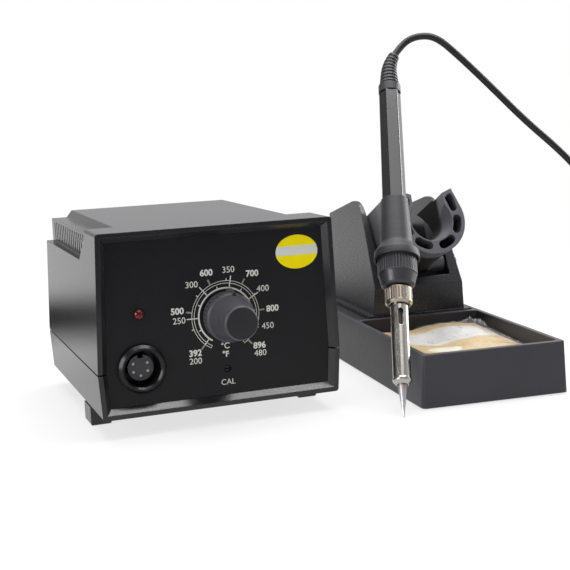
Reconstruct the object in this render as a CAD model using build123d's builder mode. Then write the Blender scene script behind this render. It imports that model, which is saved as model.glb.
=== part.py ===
from build123d import *
from math import atan2, cos, pi, radians, sin, sqrt, tan
import os

# Soldering station: a control box, an iron stand with a sponge tray, and the iron on its cord.
# Millimetres, Z up, the table at z = 0. The front of the box faces -Y.

# Driving dimensions of the control box
station_x = -63.42       # middle of the box
station_front = -69.88   # front rim of the box
station_w = 120.0        # width at the seam between the two casings
station_d = 126.0        # front rim to back rim
station_top = 96.0
seam_z = 31.6
casing_z = 9.6           # underside of the lower casing
top_inset = 2.45         # draft of each side from the seam to the top
bottom_inset = 1.26      # draft of each side from the seam to the underside
wall = 2.5
casing_round = 1.6
seam_gap = 0.8           # height of the shadow groove along the seam
seam_sink = 1.0
lip_depth = 3.0          # depth of the rim in front of each panel
rim_face = 2.2
rim_bevel = 2.7
rear_rim = 4.5
panel_t = 2.0
fit = 0.15               # room round a panel in its groove

# Side vents and the raised top
vent_face_x = 54.6
sill_z = 80.5
vent_front = 36.0
shelf_front = 24.0
shelf_z = 92.4
shelf_in = 46.5
raised_half = 43.5
vent_count = 16
vent_pitch = 5.0
vent_slot_w = 1.8
vent_slot_h = 10.0
vent_mid_y = 79.5

# Fittings on the front panel, as (across, up)
lamp_at = (-38.8, 57.3)
socket_at = (-38.6, 31.7)
dial_at = (3.5, 52.5)
trimmer_at = (3.0, 26.8)
lamp_r = 2.5
bezel_r = 11.5
socket_r = 9.75
socket_bore_r = 8.5
insulator_r = 6.25
contact_r = 0.85
contact_ring_r = 3.9
bush_r = 3.5
shaft_r = 3.0
running = 0.05           # radial clearance of a shaft in its bush
trimmer_r = 1.45
trimmer_hole_r = 1.8
knob_skirt_r = 11.8
knob_cap_r = 7.7
knob_h = 23.0
knob_gap = 0.8
pointer_angle = 8.0      # clockwise from the top, at 350 degrees on the scale
board_y = 18.0
board_t = 1.6

# Fittings on the rear panel, as (across, up)
switch_at = (34.0, 52.0)
fuse_at = (-4.0, 52.0)
gland_at = (-36.0, 36.0)
rocker_tilt = 10.0
gland_bore_r = 4.0

# Transformer
core_w = 57.0
core_stack = 30.0
core_h = 47.5
core_at = (16.0, 69.0)   # across, behind the front rim
leg = 9.5

# Feet and screws
foot_w = 10.0
foot_l = 14.0
back_foot_inset = 16.0   # the back feet stand further in than the front ones
post_x = 47.5
post_ys = (50.0, 107.0)
screw_r = 1.5
screw_head_r = 2.8

# Driving dimensions of the stand, in its own frame: across, back, up
stand_corner = (30.26, -92.1)
stand_turn = -4.15
stand_w = 79.7
stand_d = 191.65
stand_h = 27.2
stand_gap = 0.8          # under the base, taken up by its rubber pads
stand_draft = 3.1
stand_mid = stand_w / 2
base_wall = 2.6
well_w = 72.0
well_front = 4.2
well_back = 97.0
well_floor = 8.0
deck_z = 25.7
tower_front = 103.0
tower_mid = 43.0         # across, a little right of the middle of the base
tower_kink_z = 44.0
tower_peak = (127.5, 93.3)
tower_back = (180.5, 80.8)
tower_foot_back = 182.0
tower_half_low = 28.2
tower_half_high = 24.2
tower_wall = 3.0
tower_round = 7.0
cheek_gap_half = 20.5
front_wall_top = 48.0
cheek_open_back = 158.0
plinth_z = 28.0

# Receptacle: a pocketed ring with two horns, a cut-off guide tube and a channel that tilts
mouth_tilt = 24.4        # its mouth leans back from upright by this much
mouth_r = 20.0
mouth_low = (75.74, 65.19)
horn = (15.2, 17.4)
horn_root = (9.3, 15.0)
flank_angle = 15.0       # where the round of the collar turns into its straight flanks
collar_l = 16.0
collar_taper = 2.0
funnel_r = 12.4
funnel_depth = 10.5
throat_r = 9.3
guide_r = 12.0           # outside of the guide tube behind the funnel
guide_top = 15.8
guide_cut = ((16.0, -13.0), (19.5, -5.0), (26.5, 5.3), (33.5, 11.5), (40.0, 16.2))
channel_r = 19.6
channel_top = 19.0
channel_wall = 2.1
channel_l = 50.0
pivot_depth = 42.0
pivot_drop = 13.6        # the pivot passes below the bore
pivot_r = 2.5
pivot_seat = 25.4
boss_r = 5.0
pocket_angles = (-14.0, -63.0, -117.0, -166.0)
pocket_inner_r = 13.1
pocket_outer_r = 18.0
pocket_span = 22.5
pocket_depth = 13.5
horn_pocket = ((10.3, 12.4), (14.2, 15.0), (15.8, 11.9), (16.8, 5.3), (14.4, 3.5), (12.7, 4.4))
horn_pocket_round = 1.1

# Sponge
sponge_w = 69.0
sponge_l = 88.0

# The iron, measured along its axis from the point of its tip
tip_point = Vector(16.53, -98.57, 0.25)
iron_lean = 33.0
iron_heading = 65.9
enclosure_r = 4.5
enclosure_bore_r = 4.05
shoulder_t = 18.6        # the tip's shoulder behind the rolled end of the enclosure
element_r = 2.1
slot_t = 50.6            # middle of the slots in the enclosure
slot_turn = 7.5
nose_t = 63.4            # nose of the nipple inside the nut
terminal_t = 104.0
grip_end = 116.8
nut_r = 6.85
nipple_r = 10.05
flange_r = 11.7
tube_low_r = 6.65
tube_high_r = 5.95
tube_bore_r = 4.2
tube_start = 85.6
tube_end = 182.0
collar_end = 187.0
boot_straight_end = 193.6
boot_bend_r = 25.0
boot_bend = 30.0
boot_ribs = 9
boot_low_r = 5.3
boot_high_r = 3.0
boot_groove = 0.6

# The cord and its plug
cord_r = 1.9
coil_layer = 4.35
coil_step = 5.0
coil_in_r = 12.6
coil_turns = 3.375       # turns in each of the two layers
tie_t = 0.7
tie_w = 6.0
coil_z = tie_t + cord_r
plug_axis_z = 9.6
plug_ring_r = 9.5
plug_shell_r = 7.2

os.makedirs("parts", exist_ok=True)


# Planes of the control box
def front(depth, at=(0.0, 0.0)):
    """Upright plane behind the front rim, facing the user: local x to the right, local y up."""
    origin = (station_x + at[0], station_front + depth, at[1])
    return Plane(origin=origin, x_dir=(1, 0, 0), z_dir=(0, -1, 0))


def rear(depth, at=(0.0, 0.0)):
    """Upright plane in front of the back rim, facing backwards: local y up."""
    origin = (station_x + at[0], station_front + station_d - depth, at[1])
    return Plane(origin=origin, x_dir=(-1, 0, 0), z_dir=(0, 1, 0))


def along_depth(x):
    """Upright plane across the box at x: local x to the back, local y up."""
    return Plane(origin=(station_x + x, station_front, 0), x_dir=(0, 1, 0), z_dir=(1, 0, 0))


def turning_plane(origin, axis, radial):
    """Plane through a turned piece's axis: local x is the radius, local y runs along the axis."""
    return Plane(origin=origin, x_dir=radial, z_dir=Vector(*radial).cross(Vector(*axis)))


def half_width(z):
    """Half the width of the casings at height z, widest at the seam."""
    if z >= seam_z:
        return station_w / 2 - top_inset * (z - seam_z) / (station_top - seam_z)
    return station_w / 2 - bottom_inset * (seam_z - z) / (seam_z - casing_z)


def mirrored(right_side):
    """Closed outline from the points of its right side."""
    return right_side + [(-x, z) for x, z in reversed(right_side)]


def casing_section(inset, low, high):
    """Drafted section of the casings between two heights, drawn in by inset."""
    heights = [low, seam_z, high] if low < seam_z < high else [low, high]
    return mirrored([(half_width(z) - inset, z) for z in heights])


def rear_section(inset, low):
    """Section behind the front hood, with the vent faces, the shelves and the raised top."""
    heights = [low, seam_z] if low < seam_z else [low]
    side = [(half_width(z) - inset, z) for z in heights]
    side.append((half_width(sill_z) - inset, sill_z - inset))
    side.append((vent_face_x - inset, sill_z - inset))
    side.append((vent_face_x - inset, shelf_z - inset))
    side.append((shelf_in - inset, shelf_z - inset))
    side.append((raised_half - inset, station_top - inset))
    return mirrored(side)


post_points = [(station_x + s * post_x, station_front + y) for s in (-1, 1) for y in post_ys]

# Upper casing: hood, side vents, shelves and screw posts
with BuildPart() as upper_casing:
    with BuildSketch(front(0)):
        Polygon(*casing_section(0, seam_z, station_top), align=None)
    extrude(amount=-station_d)
    fillet(upper_casing.edges().filter_by(Axis.Y).group_by(Axis.Z)[-1], casing_round)
    for side in (-1, 1):
        with BuildSketch(along_depth(side * vent_face_x)):
            Polygon(
                (vent_front, sill_z),
                (shelf_front, shelf_z),
                (shelf_front, station_top + 1),
                (station_d + 1, station_top + 1),
                (station_d + 1, sill_z),
                align=None,
            )
        extrude(amount=side * 10, mode=Mode.SUBTRACT)
        with BuildSketch(front(shelf_front)):
            Polygon(
                (side * shelf_in, shelf_z),
                (side * station_w / 2, shelf_z),
                (side * station_w / 2, station_top + 1),
                (side * raised_half, station_top + 1),
                (side * raised_half, station_top),
                align=None,
            )
        extrude(amount=-station_d, mode=Mode.SUBTRACT)
    with BuildSketch(front(lip_depth)):
        Polygon(*casing_section(wall, seam_z - 1, station_top - wall), align=None)
    extrude(amount=-(shelf_front - wall - lip_depth), mode=Mode.SUBTRACT)
    with BuildSketch(front(shelf_front - 2 * wall)):
        Polygon(*rear_section(wall, seam_z - 1), align=None)
    extrude(amount=-(station_d - lip_depth - shelf_front + 2 * wall), mode=Mode.SUBTRACT)
    with BuildSketch(front(0)):
        Polygon(*casing_section(rim_face, seam_z - 1, station_top - rim_face), align=None)
    with BuildSketch(front(lip_depth)):
        inner_rim = rim_face + rim_bevel
        Polygon(*casing_section(inner_rim, seam_z - 1, station_top - inner_rim), align=None)
    loft(mode=Mode.SUBTRACT)
    with BuildSketch(front(station_d - lip_depth)):
        Polygon(*rear_section(rear_rim, seam_z - 1), align=None)
    extrude(amount=-lip_depth, mode=Mode.SUBTRACT)
    for side in (-1, 1):
        with BuildSketch(along_depth(side * (vent_face_x + 1))):
            with Locations((vent_mid_y, (sill_z + shelf_z) / 2)):
                with GridLocations(vent_pitch, 1, vent_count, 1):
                    Rectangle(vent_slot_w, vent_slot_h)
        extrude(amount=-side * (wall + 2), mode=Mode.SUBTRACT)
        with BuildSketch(along_depth(side * (vent_face_x + 1))):
            Polygon(
                (vent_front + 1.2, sill_z + 0.9),
                (shelf_front + 2.6, shelf_z - 1),
                (vent_front + 3.4, shelf_z - 1),
                (vent_front + 3.4, sill_z + 0.9),
                align=None,
            )
        extrude(amount=-side * (wall + 2), mode=Mode.SUBTRACT)
    with BuildSketch(Plane.XY.offset(seam_z)):
        with Locations(post_points):
            Circle(3.5)
    extrude(amount=shelf_z - seam_z - 1)
    with BuildSketch(Plane.XY.offset(seam_z)):
        with Locations(post_points):
            Circle(screw_r)
    extrude(amount=12, mode=Mode.SUBTRACT)
upper_casing.part.label = "upper_casing"
export_step(upper_casing.part, "parts/upper_casing.step")

# Lower casing: a tray with the lower half of each rim, the screw posts and the seam groove
with BuildPart() as lower_casing:
    with BuildSketch(front(0)):
        Polygon(*casing_section(0, casing_z, seam_z), align=None)
    extrude(amount=-station_d)
    fillet(lower_casing.edges().filter_by(Axis.Y).group_by(Axis.Z)[0], casing_round)
    with BuildSketch(front(lip_depth)):
        Polygon(*casing_section(wall, casing_z + wall, seam_z + 1), align=None)
    extrude(amount=-(station_d - 2 * lip_depth), mode=Mode.SUBTRACT)
    with BuildSketch(front(0)):
        Polygon(*casing_section(rim_face, casing_z + rim_face, seam_z + 1), align=None)
    with BuildSketch(front(lip_depth)):
        Polygon(*casing_section(inner_rim, casing_z + inner_rim, seam_z + 1), align=None)
    loft(mode=Mode.SUBTRACT)
    with BuildSketch(front(station_d - lip_depth)):
        Polygon(*casing_section(rear_rim, casing_z + rear_rim, seam_z + 1), align=None)
    extrude(amount=-lip_depth, mode=Mode.SUBTRACT)
    with BuildSketch(Plane.XY.offset(casing_z + wall / 2)):
        with Locations(post_points):
            Circle(4.5)
    extrude(amount=seam_z - casing_z - wall / 2)
    with BuildSketch(Plane.XY.offset(casing_z)):
        with Locations(post_points):
            Circle(screw_r + 0.2)
    extrude(amount=seam_z - casing_z, mode=Mode.SUBTRACT)
    with BuildSketch(Plane.XY.offset(casing_z)):
        with Locations(post_points):
            Circle(screw_head_r + 0.3)
    extrude(amount=8, mode=Mode.SUBTRACT)
    with BuildSketch(Plane.XY.offset(seam_z)):
        with Locations((station_x, station_front + station_d / 2)):
            Rectangle(station_w + 2, station_d + 2)
        with Locations((station_x, station_front + (station_d + lip_depth - seam_sink) / 2)):
            inner_d = station_d - lip_depth - seam_sink
            Rectangle(station_w - 2 * seam_sink, inner_d, mode=Mode.SUBTRACT)
    extrude(amount=-seam_gap, mode=Mode.SUBTRACT)
lower_casing.part.label = "lower_casing"
export_step(lower_casing.part, "parts/lower_casing.step")

# Casing screws, seated in the counterbores under the posts
with BuildPart() as casing_screws:
    with BuildSketch(Plane.XY.offset(casing_z + 8)):
        with Locations(post_points):
            Circle(screw_head_r)
    extrude(amount=-2.2)
    with BuildSketch(Plane.XY.offset(casing_z + 8)):
        with Locations(post_points):
            Circle(screw_r)
    extrude(amount=seam_z - casing_z + 2)
casing_screws.part.label = "casing_screws"
export_step(casing_screws.part, "parts/casing_screws.step")

# Feet: the front pair flush with the sides, the back pair further in
foot_x = half_width(casing_z) - foot_w / 2
foot_ys = (29.5 + foot_l / 2, station_d - 10 - foot_l / 2)
foot_xs = (foot_x, foot_x - back_foot_inset)
foot_spots = [(s * x, y) for s in (-1, 1) for x, y in zip(foot_xs, foot_ys)]
foot_points = [(station_x + x, station_front + y) for x, y in foot_spots]
with BuildPart() as station_feet:
    with BuildSketch(Plane.XY.offset(casing_z)):
        with Locations(foot_points):
            Rectangle(foot_w, foot_l)
    extrude(amount=-casing_z)
    fillet(station_feet.edges().group_by(Axis.Z)[0], 1.2)
station_feet.part.label = "station_feet"
export_step(station_feet.part, "parts/station_feet.step")

# Front panel with the holes for its fittings
with BuildPart() as front_panel:
    with BuildSketch(front(lip_depth)):
        groove = wall + fit
        Polygon(*casing_section(groove, casing_z + groove, station_top - groove), align=None)
        with Locations(lamp_at):
            Circle(lamp_r + fit, mode=Mode.SUBTRACT)
        with Locations(socket_at):
            Circle(socket_r + fit, mode=Mode.SUBTRACT)
        with Locations(dial_at):
            Circle(bush_r + fit, mode=Mode.SUBTRACT)
        with Locations(trimmer_at):
            Circle(trimmer_hole_r, mode=Mode.SUBTRACT)
    extrude(amount=-panel_t)
front_panel.part.label = "front_panel"
export_step(front_panel.part, "parts/front_panel.step")

# Rear panel with the openings for the switch, the fuse holder and the cord gland
with BuildPart() as rear_panel:
    with BuildSketch(front(station_d - lip_depth - panel_t)):
        Polygon(*rear_section(groove, casing_z + groove), align=None)
        with Locations(switch_at):
            Rectangle(13.2, 19.2, mode=Mode.SUBTRACT)
        with Locations(fuse_at):
            Circle(6.2, mode=Mode.SUBTRACT)
        with Locations(gland_at):
            Circle(6.2, mode=Mode.SUBTRACT)
    extrude(amount=-panel_t)
rear_panel.part.label = "rear_panel"
export_step(rear_panel.part, "parts/rear_panel.step")

# Red lamp: a domed lens with its collar behind the panel and two leads to the board
panel_back = lip_depth + panel_t
with BuildPart() as status_lamp:
    with BuildSketch(front(panel_back + 4, lamp_at)):
        Circle(lamp_r)
    extrude(amount=panel_t + 6.2)
    fillet(status_lamp.edges().group_by(Axis.Y)[0], lamp_r - 0.3)
    with BuildSketch(front(panel_back + 1, lamp_at)):
        Circle(lamp_r + 0.5)
    extrude(amount=1)
    with BuildSketch(front(board_y, lamp_at)):
        with GridLocations(2.54, 1, 2, 1):
            Rectangle(0.6, 0.6)
    extrude(amount=board_y - panel_back - 4)
status_lamp.part.label = "status_lamp"
export_step(status_lamp.part, "parts/status_lamp.step")

# Socket: bezel and barrel, insulator with its key, five contacts, ring nut
socket_origin = front(lip_depth, socket_at).origin
toward_user = (0, -1, 0)
with BuildPart() as socket_shell:
    with BuildSketch(turning_plane(socket_origin, toward_user, (1, 0, 0))):
        Polygon(
            (socket_bore_r, -14),
            (socket_r, -14),
            (socket_r, 0),
            (bezel_r, 0),
            (bezel_r, 1.6),
            (bezel_r - 1.4, 3.0),
            (socket_bore_r + 0.9, 3.0),
            (socket_bore_r, 2.1),
            align=None,
        )
    revolve(axis=Axis(socket_origin, toward_user))
socket_shell.part.label = "socket_shell"
export_step(socket_shell.part, "parts/socket_shell.step")

contact_angles = (210, 270, 330, 30, 150)
contact_points = [
    (contact_ring_r * cos(radians(a)), contact_ring_r * sin(radians(a))) for a in contact_angles
]
with BuildPart() as socket_insulator:
    with BuildSketch(front(lip_depth + 14, socket_at)):
        Circle(socket_bore_r)
    extrude(amount=3)
    with BuildSketch(front(lip_depth + 11, socket_at)):
        Circle(insulator_r)
        with Locations((0, insulator_r)):
            Rectangle(2.6, 3.2, mode=Mode.SUBTRACT)
    extrude(amount=8.6)
    with BuildSketch(front(lip_depth + 14, socket_at)):
        with Locations(contact_points):
            Circle(contact_r)
    extrude(amount=11.6, mode=Mode.SUBTRACT)
socket_insulator.part.label = "socket_insulator"
export_step(socket_insulator.part, "parts/socket_insulator.step")

with BuildPart() as socket_contacts:
    with BuildSketch(front(lip_depth + 17, socket_at)):
        with Locations(contact_points):
            Circle(contact_r)
    extrude(amount=14.2)
socket_contacts.part.label = "socket_contacts"
export_step(socket_contacts.part, "parts/socket_contacts.step")

with BuildPart() as socket_nut:
    with BuildSketch(front(panel_back + 3, socket_at)):
        RegularPolygon(13.2, 6)
        Circle(socket_r, mode=Mode.SUBTRACT)
    extrude(amount=3)
socket_nut.part.label = "socket_nut"
export_step(socket_nut.part, "parts/socket_nut.step")

# Potentiometer: can, threaded bush and lugs; its nut; its shaft
with BuildPart() as potentiometer:
    with BuildSketch(front(panel_back + 9, dial_at)):
        Circle(8.5)
    extrude(amount=9)
    with BuildSketch(front(panel_back, dial_at)):
        Circle(bush_r)
    extrude(amount=panel_t + 5)
    with BuildSketch(front(board_y, dial_at)):
        with Locations((0, -6)):
            with GridLocations(4, 1, 3, 1):
                Rectangle(1.2, 1.2)
    extrude(amount=board_y - panel_back - 9)
    with BuildSketch(front(panel_back + 7, dial_at)):
        Circle(shaft_r + running)
    extrude(amount=panel_t + 12, mode=Mode.SUBTRACT)
potentiometer.part.label = "potentiometer"
export_step(potentiometer.part, "parts/potentiometer.step")

with BuildPart() as potentiometer_nut:
    with BuildSketch(front(lip_depth, dial_at)):
        RegularPolygon(5.6, 6)
        Circle(bush_r, mode=Mode.SUBTRACT)
    extrude(amount=2.2)
potentiometer_nut.part.label = "potentiometer_nut"
export_step(potentiometer_nut.part, "parts/potentiometer_nut.step")

with BuildPart() as potentiometer_shaft:
    with BuildSketch(front(panel_back + 6.5, dial_at)):
        Circle(shaft_r)
    extrude(amount=panel_t + 6.5 + 14)
potentiometer_shaft.part.label = "potentiometer_shaft"
export_step(potentiometer_shaft.part, "parts/potentiometer_shaft.step")

# Temperature knob: fluted skirt, tapered cap, raised pointer and a bore for the shaft
dial_origin = front(lip_depth, dial_at).origin
with BuildPart() as temperature_knob:
    with BuildSketch(turning_plane(dial_origin, toward_user, (1, 0, 0))):
        Polygon(
            (6.4, knob_gap),
            (knob_skirt_r, knob_gap),
            (knob_skirt_r, 7.2),
            (knob_skirt_r - 0.9, 8.0),
            (knob_cap_r + 0.5, knob_h - 0.8),
            (knob_cap_r - 0.3, knob_h),
            (0, knob_h),
            (0, 14.0),
            (shaft_r, 14.0),
            (shaft_r, 5.6),
            (6.4, 5.6),
            align=None,
        )
    revolve(axis=Axis(dial_origin, toward_user))
    with BuildSketch(front(lip_depth - knob_gap - 1.4, dial_at)):
        with PolarLocations(knob_skirt_r + 0.25, 36):
            RegularPolygon(0.75, 4)
    extrude(amount=4.4, mode=Mode.SUBTRACT)
    with BuildSketch(front(lip_depth - knob_gap, dial_at)):
        with PolarLocations(0, 1, start_angle=90 - pointer_angle):
            with Locations((knob_skirt_r - 0.4, 0)):
                Trapezoid(4.4, 3.4, 74, rotation=-90)
    extrude(amount=8.2, taper=6)
temperature_knob.part.label = "temperature_knob"
export_step(temperature_knob.part, "parts/temperature_knob.step")

# Control board, held behind the panel by the potentiometer
with BuildPart() as control_board:
    with BuildSketch(front(board_y)):
        Polygon((-47, 46), (-47, 86), (50, 86), (50, 16), (-18, 16), (-18, 46), align=None)
    extrude(amount=-board_t)
control_board.part.label = "control_board"
export_step(control_board.part, "parts/control_board.step")

# Components on the back of the board: capacitors, chips and the relay
board_back = board_y + board_t
with BuildPart() as board_components:
    with BuildSketch(front(board_back)):
        with Locations((-36, 72), (-24, 72)):
            Circle(5)
    extrude(amount=-12)
    with BuildSketch(front(board_back)):
        with Locations((-8, 60), (-8, 48)):
            Rectangle(20, 6.6)
    extrude(amount=-3.6)
    with BuildSketch(front(board_back)):
        with Locations((4, 76)):
            Rectangle(18, 11)
    extrude(amount=-14)
board_components.part.label = "board_components"
export_step(board_components.part, "parts/board_components.step")

# Finned heat sink of the power switch on the board
with BuildPart() as heat_sink:
    with BuildSketch(front(board_back)):
        with Locations((26, 58)):
            Rectangle(24, 30)
    extrude(amount=-3)
    with BuildSketch(front(board_back + 3)):
        with Locations((26, 58)):
            with GridLocations(5.5, 1, 5, 1):
                Rectangle(1.6, 30)
    extrude(amount=-9)
heat_sink.part.label = "heat_sink"
export_step(heat_sink.part, "parts/heat_sink.step")

# Calibration trimmer behind its hole in the panel, and its slotted screw
trimmer_front = board_y - 5
with BuildPart() as trimmer_body:
    with BuildSketch(front(board_y, trimmer_at)):
        Rectangle(7, 7)
    extrude(amount=5)
    with BuildSketch(front(trimmer_front, trimmer_at)):
        Circle(trimmer_r + running)
    extrude(amount=-2.4, mode=Mode.SUBTRACT)
trimmer_body.part.label = "trimmer_body"
export_step(trimmer_body.part, "parts/trimmer_body.step")

with BuildPart() as trimmer_screw:
    with BuildSketch(front(trimmer_front + 2, trimmer_at)):
        Circle(trimmer_r)
    extrude(amount=trimmer_front + 2 - lip_depth - 0.6)
    with BuildSketch(front(lip_depth + 0.6, trimmer_at)):
        Rectangle(4, 0.6)
    extrude(amount=-0.9, mode=Mode.SUBTRACT)
trimmer_screw.part.label = "trimmer_screw"
export_step(trimmer_screw.part, "parts/trimmer_screw.step")

# Transformer: laminated core, winding on its middle leg, clamp and screws
floor_z = casing_z + wall
core_y = core_at[1] + core_stack / 2
window_w = (core_w - 4 * leg) / 2
window_h = core_h - 2 * leg
core_mid = (core_at[0], floor_z + core_h / 2)
with BuildPart() as transformer_core:
    with BuildSketch(front(core_y, core_mid)):
        Rectangle(core_w, core_h)
        with GridLocations(2 * leg + window_w, 1, 2, 1):
            Rectangle(window_w, window_h, mode=Mode.SUBTRACT)
    extrude(amount=core_stack)
transformer_core.part.label = "transformer_core"
export_step(transformer_core.part, "parts/transformer_core.step")

with BuildPart() as transformer_winding:
    with BuildSketch(Plane.XY.offset(floor_z + leg)):
        with Locations((station_x + core_at[0], station_front + core_at[1])):
            RectangleRounded(2 * leg + 2 * window_w - 0.6, core_stack + 16, 4)
            Rectangle(2 * leg, core_stack, mode=Mode.SUBTRACT)
    extrude(amount=window_h)
transformer_winding.part.label = "transformer_winding"
export_step(transformer_winding.part, "parts/transformer_winding.step")

clamp_t = 1.2
ear = 9.0
with BuildPart() as transformer_clamp:
    with BuildSketch(front(core_at[1] + 6, (core_at[0], floor_z))):
        half = core_w / 2
        Polygon(
            *mirrored([(half + ear, 0), (half + ear, clamp_t), (half + clamp_t, clamp_t),
                       (half + clamp_t, core_h + clamp_t)]),
            align=None,
        )
        with Locations((0, core_h / 2)):
            Rectangle(core_w, core_h, mode=Mode.SUBTRACT)
    extrude(amount=12)
    with BuildSketch(Plane.XY.offset(floor_z)):
        with Locations((station_x + core_at[0], station_front + core_at[1])):
            with GridLocations(core_w + ear + clamp_t, 1, 2, 1):
                Circle(screw_r)
    extrude(amount=clamp_t, mode=Mode.SUBTRACT)
transformer_clamp.part.label = "transformer_clamp"
export_step(transformer_clamp.part, "parts/transformer_clamp.step")

with BuildPart() as transformer_screws:
    for radius, height in ((screw_r, clamp_t), (screw_head_r, 2.0)):
        lift = 0 if radius == screw_r else clamp_t
        with BuildSketch(Plane.XY.offset(floor_z + lift)):
            with Locations((station_x + core_at[0], station_front + core_at[1])):
                with GridLocations(core_w + ear + clamp_t, 1, 2, 1):
                    Circle(radius)
        extrude(amount=height)
transformer_screws.part.label = "transformer_screws"
export_step(transformer_screws.part, "parts/transformer_screws.step")

# Power switch on the rear panel: housing with its pocket, and the rocker on two stub axles
with BuildPart() as switch_housing:
    with BuildSketch(rear(lip_depth, switch_at)):
        Rectangle(16, 22)
    extrude(amount=1.8)
    with BuildSketch(rear(lip_depth, switch_at)):
        Rectangle(13, 19)
    extrude(amount=-18)
    with BuildSketch(rear(lip_depth - 1.8, switch_at)):
        Rectangle(10.4, 17.4)
    extrude(amount=-10, mode=Mode.SUBTRACT)
    with BuildSketch(Plane(origin=rear(lip_depth + 1.4, switch_at).origin, z_dir=(1, 0, 0))):
        Circle(1.25)
    extrude(amount=7, both=True, mode=Mode.SUBTRACT)
switch_housing.part.label = "switch_housing"
export_step(switch_housing.part, "parts/switch_housing.step")

rocker_pivot = rear(lip_depth + 1.4, switch_at).origin
rocker_out = (0, cos(radians(rocker_tilt)), -sin(radians(rocker_tilt)))
rocker_plane = Plane(origin=rocker_pivot, x_dir=rocker_out, z_dir=(1, 0, 0))
with BuildPart() as power_rocker:
    with BuildSketch(rocker_plane):
        Polygon((4.2, 7.6), (2.4, 0), (4.2, -7.6), (-2.4, -6.4), (-4.0, 0), (-2.4, 6.4), align=None)
    extrude(amount=4.7, both=True)
    with BuildSketch(rocker_plane):
        Circle(1.2)
    extrude(amount=6.0, both=True)
power_rocker.part.label = "power_rocker"
export_step(power_rocker.part, "parts/power_rocker.step")

# Fuse holder, its bayonet cap and the fuse
toward_back = (0, 1, 0)
fuse_origin = rear(lip_depth, fuse_at).origin
with BuildPart() as fuse_holder:
    with BuildSketch(turning_plane(fuse_origin, toward_back, (1, 0, 0))):
        Polygon(
            (0, -30), (6, -30), (6, 0), (7.6, 0), (7.6, 2), (4.6, 2),
            (4.6, -7), (2.7, -7), (2.7, -28), (0, -28),
            align=None,
        )
    revolve(axis=Axis(fuse_origin, toward_back))
fuse_holder.part.label = "fuse_holder"
export_step(fuse_holder.part, "parts/fuse_holder.step")

with BuildPart() as fuse_cap:
    with BuildSketch(turning_plane(fuse_origin, toward_back, (1, 0, 0))):
        Polygon((0, -6.6), (4.3, -6.6), (4.3, 2.3), (6.4, 2.3), (5.8, 8), (0, 8), align=None)
    revolve(axis=Axis(fuse_origin, toward_back))
    with BuildSketch(rear(lip_depth - 8, fuse_at)):
        Rectangle(8, 1.4)
    extrude(amount=-1.2, mode=Mode.SUBTRACT)
fuse_cap.part.label = "fuse_cap"
export_step(fuse_cap.part, "parts/fuse_cap.step")

with BuildPart() as fuse:
    with BuildSketch(rear(lip_depth + 28, fuse_at)):
        Circle(2.5)
    extrude(amount=20)
fuse.part.label = "fuse"
export_step(fuse.part, "parts/fuse.step")

# Cord gland: flanged bush with an open bore
gland_origin = rear(lip_depth, gland_at).origin
with BuildPart() as cord_gland:
    with BuildSketch(turning_plane(gland_origin, toward_back, (1, 0, 0))):
        Polygon(
            (gland_bore_r, -8), (6, -8), (6, 0), (8.4, 0), (8.4, 3),
            (6.6, 4.5), (5.8, 9), (gland_bore_r, 9),
            align=None,
        )
    revolve(axis=Axis(gland_origin, toward_back))
cord_gland.part.label = "cord_gland"
export_step(cord_gland.part, "parts/cord_gland.step")

# Planes of the stand
turn = radians(stand_turn)
stand_across = Vector(cos(turn), sin(turn), 0)
stand_back = Vector(-sin(turn), cos(turn), 0)
stand_zero = Vector(*stand_corner, 0)


def stand_point(a, b, z):
    """Point of the stand's own frame: across from the left side, back from the front, up."""
    return stand_zero + stand_across * a + stand_back * b + Vector(0, 0, z)


def stand_level(z, a=0.0, b=0.0):
    """Level plane of the stand: local x across, local y to the back."""
    return Plane(origin=stand_point(a, b, z), x_dir=stand_across, z_dir=(0, 0, 1))


def stand_side(a):
    """Upright plane across the stand at a: local x to the back, local y up."""
    return Plane(origin=stand_point(a, 0, 0), x_dir=stand_back, z_dir=stand_across)


# Stand base: drafted tray with the sponge well, the sunk deck and a hollow underside
deck_mid = (well_back + 3.4 + stand_d - base_wall - 1.8) / 2
deck_l = stand_d - base_wall - 1.8 - well_back - 3.4
tower_screw_points = [(tower_mid + s * 20.0, b) for s in (-1, 1) for b in (112.0, 172.0)]
with BuildPart() as stand_base:
    with BuildSketch(stand_level(stand_gap, stand_mid, stand_d / 2)):
        RectangleRounded(stand_w, stand_d, 2.5)
    extrude(amount=stand_h - stand_gap, taper=stand_draft)
    with BuildSketch(stand_level(stand_h, stand_mid, (well_front + well_back) / 2)):
        RectangleRounded(well_w, well_back - well_front, 3)
    extrude(amount=-(stand_h - well_floor), taper=2, mode=Mode.SUBTRACT)
    with BuildSketch(stand_level(stand_h, stand_mid, deck_mid)):
        RectangleRounded(well_w, deck_l, 2)
    extrude(amount=-(stand_h - deck_z), mode=Mode.SUBTRACT)
    with BuildSketch(stand_level(stand_gap, stand_mid, stand_d / 2)):
        RectangleRounded(stand_w - 2 * base_wall, stand_d - 2 * base_wall, 2)
    extrude(amount=well_floor - base_wall - stand_gap, mode=Mode.SUBTRACT)
    with BuildSketch(stand_level(stand_gap, stand_mid, deck_mid)):
        RectangleRounded(well_w - 2, deck_l - 2, 2)
    extrude(amount=deck_z - base_wall - stand_gap, mode=Mode.SUBTRACT)
    with BuildSketch(stand_level(deck_z)):
        with Locations(tower_screw_points):
            Circle(screw_r + 0.2)
    extrude(amount=-base_wall, mode=Mode.SUBTRACT)
    foot_pads = [(s, b) for s in (9.0, stand_w - 9.0) for b in (9.0, stand_d - 9.0)]
    with BuildSketch(stand_level(stand_gap)):
        with Locations(foot_pads):
            Circle(6.5)
    extrude(amount=well_floor - base_wall - stand_gap + 0.5)
stand_base.part.label = "stand_base"
export_step(stand_base.part, "parts/stand_base.step")

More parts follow.
